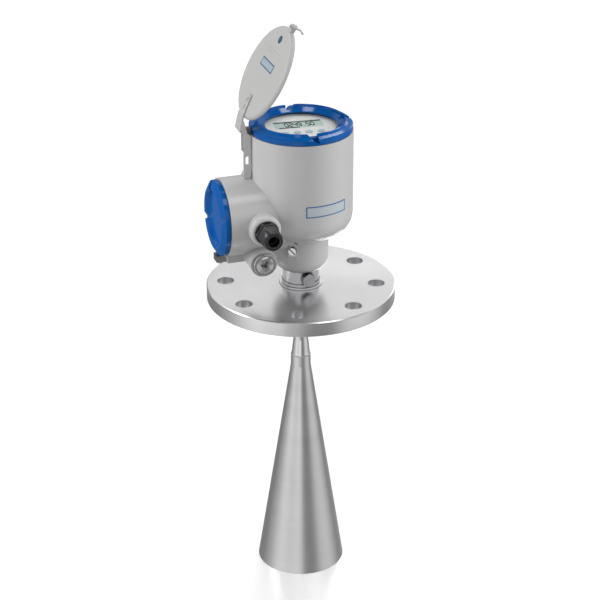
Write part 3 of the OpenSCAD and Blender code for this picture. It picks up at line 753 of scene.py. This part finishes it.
def make_piece(
    name: str,
    points: np.ndarray,
    faces: Sequence[Sequence[int]],
    material: Material,
    body: str,
    plan: np.ndarray | None = None,
    crease: float = 35.0,
) -> bpy.types.Object:
    """Puts points and faces into a mesh that rides on a body.

    Args:
        name: The piece's name.
        points: Its points in metres.
        faces: Point numbers of each face.
        material: Its finish.
        body: The body it rides on.
        plan: Place of each point on the printed field, from 0 to 1.
        crease: Angle in degrees above which an edge stays sharp.

    Returns:
        The new object.
    """
    mesh = bpy.data.meshes.new(name)
    corners = np.asarray(points, float).reshape(-1, 3).tolist()
    mesh.from_pydata(corners, [], [list(map(int, face)) for face in faces])
    if plan is not None:
        layer = mesh.uv_layers.new(name="plan")
        loops = np.zeros(len(mesh.loops), dtype=np.int32)
        mesh.loops.foreach_get("vertex_index", loops)
        layer.data.foreach_set("uv", plan[loops].astype(np.float32).ravel())
    work = bmesh.new()
    work.from_mesh(mesh)
    bmesh.ops.recalc_face_normals(work, faces=work.faces)
    work.to_mesh(mesh)
    work.free()
    mesh.shade_smooth()
    mesh.set_sharp_from_angle(angle=math.radians(crease))
    mesh.materials.append(material)
    piece = bpy.data.objects.new(name, mesh)
    bpy.context.scene.collection.objects.link(piece)
    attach(piece, body)
    return piece


def dress(solid: bpy.types.Object, material: Material) -> bpy.types.Object:
    """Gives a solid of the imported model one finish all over.

    Args:
        solid: The solid.
        material: Its finish.

    Returns:
        The same solid.
    """
    if not solid.material_slots:
        solid.data.materials.append(material)
    for place in solid.material_slots:
        place.material = material
    return solid


# ------------------------------------------------------------------ sub-assemblies

Dressing = dict[Finish, tuple[str, ...]]


class SubAssembly(ABC):
    """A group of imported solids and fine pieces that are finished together."""

    @abstractmethod
    def finishes(self) -> Dressing:
        """Returns each finish with the names of the solids that take it."""

    def fine_pieces(self) -> Pieces:
        """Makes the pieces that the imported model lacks, none unless a class adds some."""
        return []

    def build(self, frame: dict) -> Pieces:
        """Dresses the solids and makes the fine pieces.


        Returns:
            The dressed solids, and then the fine pieces.
        """
        solids = []
        for finish, names in self.finishes().items():
            material = finish.make()
            solids += [dress(frame["nodes"][name], material) for name in names]
        return solids + self.fine_pieces()


@dataclass
class ProcessSide(SubAssembly):
    """Flange, tube and horn antenna, which stay with the tank."""

    seam_z: float = -0.069
    throat_r: float = 0.0101
    seam_waves: int = 44
    flange_top: float = 0.016
    collar_rise: float = 0.0003
    collar_r: float = 0.02225
    collar_waves: int = 70
    bead: float = 0.0007
    swell: float = 0.25
    section_points: int = 10
    wave_points: int = 6

    def finishes(self) -> Dressing:
        """Chooses the finishes of the process side.

        Returns:
            Each finish with its solids.
        """
        turned = Metal("turned flange steel", (0.74, 0.74, 0.75), 0.24, Lay.TURNED, 900.0, 0.000012, 0.45)
        bright = Metal("fine turned steel", (0.76, 0.76, 0.77), 0.2, Lay.TURNED, 1500.0, 0.000008)
        return {
            turned: ("flange",),
            bright: ("process_stub", "horn_throat"),
            Metal("satin horn steel", (0.66, 0.66, 0.67), 0.3, Lay.TURNED, 700.0): ("antenna_horn",),
            Moulding("white wave window", (0.86, 0.85, 0.82), 0.35): ("process_window",),
            Moulding("black seal rubber", neutral(0.02), 0.6): ("stub_seal",),
        }

    def weld(self, name: str, radius: float, height: float, waves: int, slot: str) -> bpy.types.Object:
        """Lays a rippled weld bead round the upright axis.

        Args:
            name: The piece's name.
            radius: Radius of the bead's middle.
            height: Height of the bead's middle.
            waves: Ripples round the bead.
            slot: The record's material slot; not used.

        Returns:
            The bead.
        """
        plane = Plane((0.0, 0.0, height), (1, 0, 0), (0, 1, 0), (0, 0, 1))
        cells = (self.section_points, waves * self.wave_points)
        points, faces = oval_ring(plane, radius, (self.bead, self.bead), cells, self.swell, waves)
        steel = Metal("weld bead " + name, (0.6, 0.59, 0.58), 0.3, Lay.RANDOM, 1500.0, 0.00003, corner_shade_reach=0.002)
        return make_piece(name, points, faces, steel.make(), "process_side", crease=60)

    def fine_pieces(self) -> Pieces:
        """Lays both weld beads.

        Returns:
            The bead of the horn's seam and that of the flange's collar.
        """
        collar_z = self.flange_top + self.collar_rise
        return [
            self.weld("horn_seam_weld", self.throat_r, self.seam_z, self.seam_waves, "horn_steel"),
            self.weld("collar_weld", self.collar_r, collar_z, self.collar_waves, "bright_steel"),
        ]


@dataclass
class Housing(SubAssembly):
    """The cast two-chamber housing with its name field, earth terminal and sleeve."""

    grey: Colour = (0.475, 0.472, 0.472)
    cup_r: float = 0.0542
    field_angle: float = -77.0
    field_half: float = 25.0
    field_z: tuple[float, float] = (0.1119, 0.1240)
    field_t: float = 0.00025
    field_grid: tuple[int, int] = (49, 9)

    def finishes(self) -> Dressing:
        """Chooses the finishes of the housing and what is fixed to it.

        Returns:
            Each finish with its solids.
        """
        sleeve = Metal("sleeve steel", (0.52, 0.52, 0.53), 0.12, Lay.TURNED, 1400.0, 0.000008, corner_shade_reach=0.005)
        bolt = Metal("locking bolt steel", (0.42, 0.42, 0.43), 0.2, density=900.0, stain=0.15, corner_shade_reach=0.006)
        nickel = Metal(
            "nickel plated steel", (0.76, 0.76, 0.75), 0.17, density=700.0, stain=0.15, corner_shade_reach=0.004
        )
        pressed = Metal(
            "pressed clamp steel", neutral(0.50), 0.32, density=900.0, stain=0.15, corner_shade_reach=0.004
        )
        # Painted shade: the cover lock is a darker grey than the housing, for the shade it sits in under the
        # terminal cover's rim.
        lock = Metal("shaded lock casting", (0.33, 0.32, 0.31), 0.42, density=500.0, relief=0.00006)
        return {
            Paint("light grey housing paint", self.grey, coat=0.45, gloss=0.2): ("housing",),
            sleeve: ("swivel_sleeve",),
            bolt: ("locking_bolt",),
            Metal("zinc plated steel", (0.62, 0.62, 0.63), 0.25, density=900.0): ("cover_lock_screw",),
            nickel: ("earth_screw", "inner_earth_screw", "terminal_screws"),
            pressed: ("earth_clamp",),
            lock: ("cover_lock",),
            Moulding("black rubber", neutral(0.02), 0.6): ("display_seal", "terminal_seal"),
            Moulding("green terminal block", (0.05, 0.20, 0.11), 0.45): ("terminal_block",),
            Moulding("black electronics case", (0.03, 0.03, 0.035), 0.5): ("electronics_unit",),
        }

    def fine_pieces(self) -> Pieces:
        """Lays the bare name field on the display chamber.

        Its points lie on two cylinders about the upright axis: the first parameter
        is the angle and the second the height.

        Returns:
            The name field.
        """
        u, v = unit_grid(*self.field_grid)
        angle = np.radians(self.field_angle + (2.0 * u - 1.0) * self.field_half)
        low, high = self.field_z
        height = low + (high - low) * v
        radii = (self.cup_r + self.field_t, self.cup_r - self.field_t)
        skins = [np.stack([r * np.cos(angle), r * np.sin(angle), height], axis=-1) for r in radii]
        points, faces = closed_sheet(*skins)
        ink = Bordered("name field", (0.42, 0.47, 0.50), (0.012, 0.10, 0.29), (0.025, 0.10)).make()
        return [make_piece("name_field", points, faces, ink, "head", sheet_map(u, v))]


@dataclass
class Covers(SubAssembly):
    """The blue display cover with its window, and the blue terminal cover."""

    blue: Colour = (0.0, 0.082, 0.32)
    # A brighter blue on the covers' sharp edges, partly wear and partly painted highlight.
    wear_and_highlight: Colour = (0.01, 0.13, 0.44)
    mirror: Colour = (0.15, 0.55, 1.0)

    def finishes(self) -> Dressing:
        """Chooses the finishes of both covers.

        Returns:
            Each finish with its solids.
        """
        paint = Paint(
            "blue cover paint", self.blue, roughness=0.32, coat=0.5, gloss=0.06, specular=0.0,
            mirror=self.mirror, wear_and_highlight=self.wear_and_highlight, peel=520.0, relief=0.00008,
        )
        return {
            paint: ("display_cover", "terminal_cover"),
            Window("window glass"): ("display_glass",),
            Moulding("pale retainer ring", (0.46, 0.47, 0.46), 0.45): ("glass_retainer",),
        }


class Segment(Enum):
    """Bars of one digit, as start and end on a grid of 1 by 2."""

    TOP = ((0, 2), (1, 2))
    MIDDLE = ((0, 1), (1, 1))
    BOTTOM = ((0, 0), (1, 0))
    UPPER_LEFT = ((0, 1), (0, 2))
    UPPER_RIGHT = ((1, 1), (1, 2))
    LOWER_LEFT = ((0, 0), (0, 1))
    LOWER_RIGHT = ((1, 0), (1, 1))


# The bars that stay blank in each digit of the reading
BLANK: dict[str, tuple[Segment, ...]] = {
    "0": (Segment.MIDDLE,),
    "2": (Segment.UPPER_LEFT, Segment.LOWER_RIGHT),
    "4": (Segment.TOP, Segment.LOWER_LEFT, Segment.BOTTOM),
    "5": (Segment.UPPER_RIGHT, Segment.LOWER_LEFT),
    "9": (Segment.LOWER_LEFT,),
}


@dataclass
class Display(SubAssembly):
    """Liquid-crystal panel, dial face, push buttons and the board below them."""

    dial_z: float = 0.189
    turn: float = -5.0
    panel: tuple[float, float] = (0.051, 0.021)
    panel_y: float = 0.0125
    panel_drop: float = 0.0003
    reading: str = "0249 .50"
    start: float = -0.0140
    cell: tuple[float, float] = (0.0033, 0.0048)
    pitch: float = 0.0046
    narrow: float = 0.45
    stroke: float = 0.0013
    lying_cut: float = 0.4
    lying_bold: float = 1.5
    bar_h: float = 0.0026
    bar_gap: float = 0.002
    ink: float = 0.00006

    def finishes(self) -> Dressing:
        """Chooses the finishes of the display.

        Returns:
            Each finish with its solids.
        """
        panel = Moulding("pale green panel", (0.48, 0.62, 0.55), 0.35, 2500.0, 0.00001, variation=0.05)
        keys = ("key_1", "key_2", "key_3", "key_4")
        return {
            Moulding("white dial", (0.82, 0.83, 0.81), 0.5, variation=0.04): ("display_module",),
            panel: ("lcd_panel",),
            Moulding("green board", (0.02, 0.14, 0.06), 0.35): ("display_board",),
            Moulding("grey blue button", (0.40, 0.50, 0.60), 0.35): keys,
        }

    def spot(self, across: float, up: float) -> Plane:
        """Gives a place on the panel, turned with the dial.

        Args:
            across: Distance to the right on the dial.
            up: Distance towards the back.

        Returns:
            The place, whose normal points up.
        """
        c, s = math.cos(math.radians(self.turn)), math.sin(math.radians(self.turn))
        origin = (across * c - up * s, across * s + up * c, self.dial_z - self.panel_drop)
        return Plane(origin, (c, s, 0), (-s, c, 0), (0, 0, 1))

    def bars(self) -> list[Bar]:
        """Lays out the reading.

        A bar's middle is half way between its ends on the digit's grid of cells. A
        lying bar is a cell's width less part of the stroke and drawn bold, an upright
        one a cell's height less the stroke.

        Returns:
            Middle and size of each bar of each digit, on the dial.
        """
        width, height = self.cell
        lying = (width - self.stroke * self.lying_cut, self.stroke * self.lying_bold)
        upright = (self.stroke, height - self.stroke)
        made = []
        start = self.start
        for character in self.reading:
            if character == ".":
                made.append(((start, self.panel_y - height), (self.stroke, self.stroke)))
            for segment in (bar for bar in Segment if bar not in BLANK.get(character, Segment)):
                (x0, y0), (x1, y1) = segment.value
                middle = (start + (x0 + x1) / 2 * width, self.panel_y + ((y0 + y1) / 2 - 1) * height)
                made.append((middle, lying if y0 == y1 else upright))
            start += self.pitch * (1.0 if character in BLANK else self.narrow)
        return made

    def levels(self) -> list[Bar]:
        """Lays out the two level bars along the panel's back and front edges.

        Returns:
            Middle and size of each.
        """
        width, length = self.panel
        edge = length / 2 - self.bar_h
        back = ((0.0, self.panel_y + edge), (width - self.bar_gap, self.bar_h))
        front = ((self.bar_gap - width / 4, self.panel_y - edge), (width / 2 - 2 * self.bar_gap, self.bar_h))
        return [back, front]

    def fine_pieces(self) -> Pieces:
        """Prints the reading and the level bars on the panel as one piece.

        Returns:
            The print.
        """
        points, faces, count = [], [], 0
        for (across, up), size in self.bars() + self.levels():
            corners, quads, _ = flat_field(self.spot(across, up), size, self.ink, cells=1)
            faces += [[number + count for number in quad] for quad in quads]
            points.append(corners)
            count += len(corners)
        ink = Moulding("panel ink", (0.006, 0.012, 0.012), 0.8, relief=0.0, specular=0.0).make()
        return [make_piece("reading", np.concatenate(points), faces, ink, "head")]


@dataclass
class CableEntries(SubAssembly):
    """The cable gland with the rubber lip of its dome nut, and the blanking plug."""

    mouth: Point = (-0.053, -0.0765, 0.1015)
    lip_r: float = 0.0077
    lip: float = 0.0022
    flat: float = 0.95
    lip_points: tuple[int, int] = (20, 72)

    def finishes(self) -> Dressing:
        """Chooses the finishes of the gland and the plug.

        Returns:
            Each finish with its solids.
        """
        gland = Metal(
            "dark nickel gland", (0.12, 0.12, 0.125), 0.28, density=600.0, relief=0.00003, stain=0.2
        )
        washer = Moulding("washer rubber", neutral(0.03), 0.6)
        plug = Metal(
            "bright plug", (0.60, 0.60, 0.61), 0.10, density=6000.0, relief=0.00006, stain=0.4, corner_shade_reach=0.004
        )
        return {
            gland: ("gland_body", "gland_nut"),
            washer: ("gland_washer", "gland_seal", "plug_washer"),
            plug: ("blanking_plug",),
        }

    def fine_pieces(self) -> Pieces:
        """Rings the nut's mouth with a rubber lip, a little flattened along the entry's axis.

        Returns:
            The lip.
        """
        plane = Plane(self.mouth, (1, 0, 0), (0, 0, 1), (0, -1, 0))
        points, faces = oval_ring(plane, self.lip_r, (self.lip, self.flat * self.lip), self.lip_points)
        rubber = Moulding("gloss black rubber", (0.008, 0.008, 0.009), 0.25, 900.0, 0.00002).make()
        return [make_piece("gland_lip", points, faces, rubber, "gland_nut", crease=60)]


@dataclass
class WeatherShade(SubAssembly):
    """The hinged shade with its leaf, bracket, catch and printed fields."""

    # Painted shade: the same paint as the housing's, given a darker grey because the shade faces up into the
    # light.
    grey: Colour = (0.41, 0.41, 0.405)
    pin: Point = (-0.0628, 0.0, 0.195)
    opening: float = 61.0
    face: float = 0.0076
    ink: float = 0.0002
    label_at: float = 0.0705
    label: tuple[float, float] = (0.0090, 0.0357)
    lines_at: tuple[float, float] = (0.083, 0.0862)
    line: tuple[float, float] = (0.0006, 0.040)
    mark_at: float = 0.0990
    mark_r: float = 0.0042

    def finishes(self) -> Dressing:
        """Chooses the finishes of the shade and its hinge.

        Returns:
            Each finish with its solids.
        """
        paint = Paint("light grey shade paint", self.grey, roughness=0.4, peel=800.0)
        sheet = Metal("bracket sheet steel", neutral(0.80), 0.46, Lay.ACROSS, 1800.0)
        zinc = Metal("zinc plated pin", neutral(0.80), 0.38, density=900.0)
        return {
            paint: ("weather_shade", "shade_leaf"),
            sheet: ("shade_bracket",),
            zinc: ("hinge_pin", "bracket_screws", "shade_latch"),
            Metal("dull rivet", neutral(0.72), 0.5, density=900.0): ("shade_rivets",),
            # Painted shade: a dark brown buffer, placed and coloured for the warm shade inside the bracket's
            # channel.
            Moulding("shaded brown buffer", (0.15, 0.10, 0.085), 0.6): ("hinge_buffer",),
        }

    def spot(self, along: float) -> Plane:
        """Gives a place on the middle line of the shade's outer face.

        Args:
            along: Distance from the hinge pin.

        Returns:
            The place, whose first direction runs away from the pin.
        """
        c, s = math.cos(math.radians(self.opening)), math.sin(math.radians(self.opening))
        away, out = np.array([c, 0, s]), np.array([-s, 0, c])
        origin = np.array(self.pin) + along * away + self.face * out
        return Plane(tuple(origin), tuple(away), (0, 1, 0), tuple(out))

    def fine_pieces(self) -> Pieces:
        """Lays the bare label, two pale lines and a round mark on the outer face.

        Returns:
            The label, the lines and the mark.
        """
        ink = Bordered("shade label", (0.30, 0.36, 0.41), (0.015, 0.07, 0.17), (0.14, 0.035)).make()
        points, faces, plan = flat_field(self.spot(self.label_at), self.label, self.ink, cells=4)
        made = [make_piece("shade_label", points, faces, ink, "shade", plan)]
        pale = Moulding("pale print", (0.42, 0.44, 0.46), 0.4, relief=0.0).make()
        for number, along in enumerate(self.lines_at, 1):
            points, faces, _ = flat_field(self.spot(along), self.line, self.ink, cells=2)
            made.append(make_piece(f"shade_line_{number}", points, faces, pale, "shade"))
        teal = Moulding("teal mark", (0.01, 0.07, 0.12), 0.3, 600.0, 0.00001, variation=0.5).make()
        points, faces = round_field(self.spot(self.mark_at), self.mark_r, self.ink)
        return [*made, make_piece("shade_mark", points, faces, teal, "shade")]


# ------------------------------------------------------------------ studio


def way(azimuth: float, height: float) -> Point:
    """Gives the direction from the object towards a place around it.

    Args:
        azimuth: Degrees from -Y towards +X.
        height: Degrees above the horizon.

    Returns:
        A vector of length 1.
    """
    a, e = math.radians(azimuth - 90.0), math.radians(height)
    return math.cos(a) * math.cos(e), math.sin(a) * math.cos(e), math.sin(e)


@dataclass(frozen=True)
class Strip:
    """One strip of the tent's wall, by its bearing from the camera and its brightness."""

    bearing: float
    level: float


@dataclass(frozen=True)
class SoftBox:
    """One round patch of the tent, by its bearing, height, half width and brightness."""

    bearing: float
    height: float
    half: float
    level: float


@dataclass(frozen=True)
class Lamp:
    """A square soft lamp, by its bearing from the camera, height, distance, side and watts."""

    name: str
    bearing: float
    height: float
    reach: float
    side: float
    power: float


@dataclass(frozen=True)
class PaleFloor(Finish):
    """A pale floor that mirrors softly and glows a little, so that it stays near white."""

    tones: tuple[float, float] = (0.86, 0.88)
    metal: float = 0.35
    roughness: tuple[float, float] = (0.26, 0.32)
    glow: float = 0.41
    clouds: tuple[float, float] = (3.0, 8.0)

    def lay_on(self, s: Shader) -> None:
        """Lays on the floor's tone and glow.

        Args:
            s: The material under construction.
        """
        broad, fine = (s.noise(scale) for scale in self.clouds)
        s.put(Base_Color=s.blend(broad, *map(neutral, self.tones)), Metallic=self.metal)
        s.put(Roughness=s.spread(fine, *self.roughness))
        s.put(Emission_Color=(*WHITE, 1.0), Emission_Strength=self.glow)


@dataclass
class Studio:
    """Floor, light and camera."""

    floor_z: float = -0.322
    floor_drop: float = 0.0001
    floor_rings: tuple[float, ...] = (0.0001, 0.4, 1.5, 6.0, 20.0)
    floor_around: int = 96
    azimuth: float = -17.8
    elevation: float = 25.591
    distance: float = 2.0
    target: Point = (-0.00080, 0.00026, -0.00554)
    lens: float = 112.51
    sensor: float = 36.0
    sight: float = 100.0
    walls: tuple[Strip, ...] = (
        Strip(-150.0, 0.26), Strip(-124.0, 0.26), Strip(-92.0, 0.50), Strip(-60.0, 0.98), Strip(-30.0, 0.80),
        Strip(-7.0, 1.05), Strip(2.5, 0.98), Strip(9.0, 0.26), Strip(36.0, 0.26), Strip(60.0, 0.74),
        Strip(84.0, 0.80), Strip(104.0, 0.55), Strip(124.0, 0.26), Strip(160.0, 0.45), Strip(-176.0, 0.45),
    )
    wall_top: tuple[float, float] = (0.10, 0.42)
    ceiling: float = 0.95
    ceiling_end: tuple[float, float] = (0.58, 0.74)
    zenith: float = 0.13
    matt: float = 0.60
    boxes: tuple[SoftBox, ...] = (
        SoftBox(-88.0, 38.0, 6.0, 13.0), SoftBox(-11.0, 55.0, 4.0, 3.5), SoftBox(-149.0, 75.0, 4.5, 10.0),
        SoftBox(160.0, 43.0, 8.0, 8.0), SoftBox(138.0, 66.0, 4.5, 12.0), SoftBox(146.0, 8.0, 10.0, 3.0),
        SoftBox(54.0, 64.0, 9.0, 4.5), SoftBox(-12.0, -31.0, 7.0, 0.30), SoftBox(2.0, -31.0, 7.0, 0.25),
        SoftBox(15.0, -31.0, 7.0, 0.25),
    )
    box_edge: float = 3.0
    lamps: tuple[Lamp, ...] = (
        Lamp("left lamp", -84.0, 20.0, 2.0, 1.2, 29.0),
        Lamp("right lamp", 86.0, 20.0, 2.0, 1.2, 27.0),
        Lamp("top lamp", 20.0, 72.0, 2.2, 1.2, 8.0),
    )
    receivers: str = "lamp receivers"

    def floor(self) -> None:
        """Lays a round floor that the lamps don't light.

        Its radius grows with the first parameter, its angle with the second.
        """
        around = self.floor_around
        radius, angle = np.meshgrid(np.array(self.floor_rings), whole_turn(around), indexing="ij")
        height = np.full_like(radius, self.floor_z - self.floor_drop)
        points = np.stack([radius * np.cos(angle), radius * np.sin(angle), height], axis=-1)
        mesh = bpy.data.meshes.new("floor")
        rings = grid_quads(len(self.floor_rings), around, wrap_columns=True).tolist()
        mesh.from_pydata(points.reshape(-1, 3).tolist(), [], [*rings, list(range(around))[::-1]])
        mesh.materials.append(PaleFloor("pale floor").make())
        floor = bpy.data.objects.new("floor", mesh)
        floor.visible_glossy = floor.visible_diffuse = floor.visible_shadow = False
        bpy.context.scene.collection.objects.link(floor)
        unlit = bpy.data.collections.new(self.receivers)
        unlit.objects.link(floor)
        unlit.collection_objects[0].light_linking.link_state = "EXCLUDE"

    def hang(self, lamp: Lamp) -> None:
        """Hangs a lamp that faces the object and lights all but the floor.

        Args:
            lamp: The lamp to hang.
        """
        towards = Vector(way(self.azimuth + lamp.bearing, lamp.height))
        data = bpy.data.lights.new(lamp.name, "AREA")
        data.shape, data.size, data.energy = "SQUARE", lamp.side, lamp.power
        hung = bpy.data.objects.new(lamp.name, data)
        hung.location = towards * lamp.reach
        hung.rotation_mode = "QUATERNION"
        hung.rotation_quaternion = towards.to_track_quat("Z", "Y")
        hung.visible_glossy = False
        hung.light_linking.receiver_collection = bpy.data.collections[self.receivers]
        bpy.context.scene.collection.objects.link(hung)

    def wall(self, s: Nodes, turn: object) -> Socket:
        """Paints the strips of the tent's wall on a ramp that runs once round.

        The ramp's two ends meet at -X, and both take the level that a straight line
        between the last and the first strip has there.

        Args:
            s: The world under construction.
            turn: The share of a turn, from 0 to 1.

        Returns:
            The wall's brightness.
        """
        shares = [((self.azimuth + 90.0 + strip.bearing) % 360.0) / 360.0 for strip in self.walls]
        places = sorted(zip(shares, (strip.level for strip in self.walls)))
        (first, low), (last, high) = places[0], places[-1]
        seam = high + (low - high) * (1.0 - last) / (1.0 - last + first)
        stops = [(0.0, seam), *places, (1.0, seam)]
        ramp = s.node("ValToRGB")
        ramp.color_ramp.interpolation = "EASE"
        elements = ramp.color_ramp.elements
        while len(elements) < len(stops):
            elements.new(0.5)
        for element, (position, level) in zip(elements, stops):
            element.position, element.color = position, (*neutral(level), 1.0)
        s.feed(ramp.inputs[0], turn)
        return ramp.outputs[0]

    def sky(self) -> None:
        """Surrounds the object with a tent of bright and dark strips.

        Metal and gloss mirror the strips, whose brightness follows the bearing near
        the horizon and turns even towards the ceiling. Matt surfaces get one even
        level from all sides, and the camera sees plain white behind everything.
        """
        world = bpy.data.worlds.new("tent")
        world.use_nodes = True
        world.cycles.sampling_method = "NONE"
        bpy.context.scene.world = world
        s = Nodes(world.node_tree)
        place, parts = s.node("TexCoord").outputs["Generated"], s.node("SeparateXYZ")
        s.feed(parts.inputs[0], place)
        x, y, z = parts.outputs
        turn = s.spread(s.reckon("ARCTAN2", y, x), 0.0, 1.0, -math.pi, math.pi)
        tent = s.blend(s.rise(z, *self.wall_top), self.wall(s, turn), neutral(self.ceiling))
        tent = s.blend(s.rise(z, *self.ceiling_end), tent, neutral(self.zenith))
        for box in self.boxes:
            near = s.node("VectorMath", operation="DOT_PRODUCT")
            s.feed(near.inputs[0], place)
            s.feed(near.inputs[1], way(self.azimuth + box.bearing, box.height))
            rim = [math.cos(math.radians(box.half + edge)) for edge in (self.box_edge, -self.box_edge)]
            tent = s.blend(s.rise(near.outputs["Value"], *rim), tent, neutral(box.level))
        rays = s.node("LightPath").outputs
        tent = s.blend(rays["Is Diffuse Ray"], tent, neutral(self.matt))
        seen = s.blend(rays["Is Camera Ray"], tent, WHITE)
        s.feed(s.tree.nodes["Background"].inputs["Color"], seen)

    def camera(self) -> None:
        """Sets the camera at its distance from the target, looking at it."""
        back = Vector(way(self.azimuth, self.elevation))
        data = bpy.data.cameras.new("camera")
        data.lens, data.sensor_width, data.clip_end = self.lens, self.sensor, self.sight
        camera = bpy.data.objects.new("camera", data)
        camera.location = Vector(self.target) + back * self.distance
        camera.rotation_mode = "QUATERNION"
        camera.rotation_quaternion = back.to_track_quat("Z", "Y")
        bpy.context.scene.collection.objects.link(camera)
        bpy.context.scene.camera = camera

    def build(self) -> None:
        """Sets up the whole studio, with the floor before the lamps that leave it out."""
        self.camera()
        self.floor()
        self.sky()
        for lamp in self.lamps:
            self.hang(lamp)
        bpy.context.scene.view_settings.view_transform = "Standard"


def main() -> None:
    """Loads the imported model, builds every sub-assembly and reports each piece."""
    logging.basicConfig(level=logging.INFO, format="%(name)s: %(message)s")
    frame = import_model()
    Studio().build()
    for part in (ProcessSide(), Housing(), Covers(), Display(), CableEntries(), WeatherShade()):
        for piece in part.build(frame):
            finish, faces = piece.material_slots[0].name, len(piece.data.polygons)
            LOG.info("%s: %s, %d faces, %s", type(part).__name__, piece.name, faces, finish)


if __name__ == "__main__":
    main()
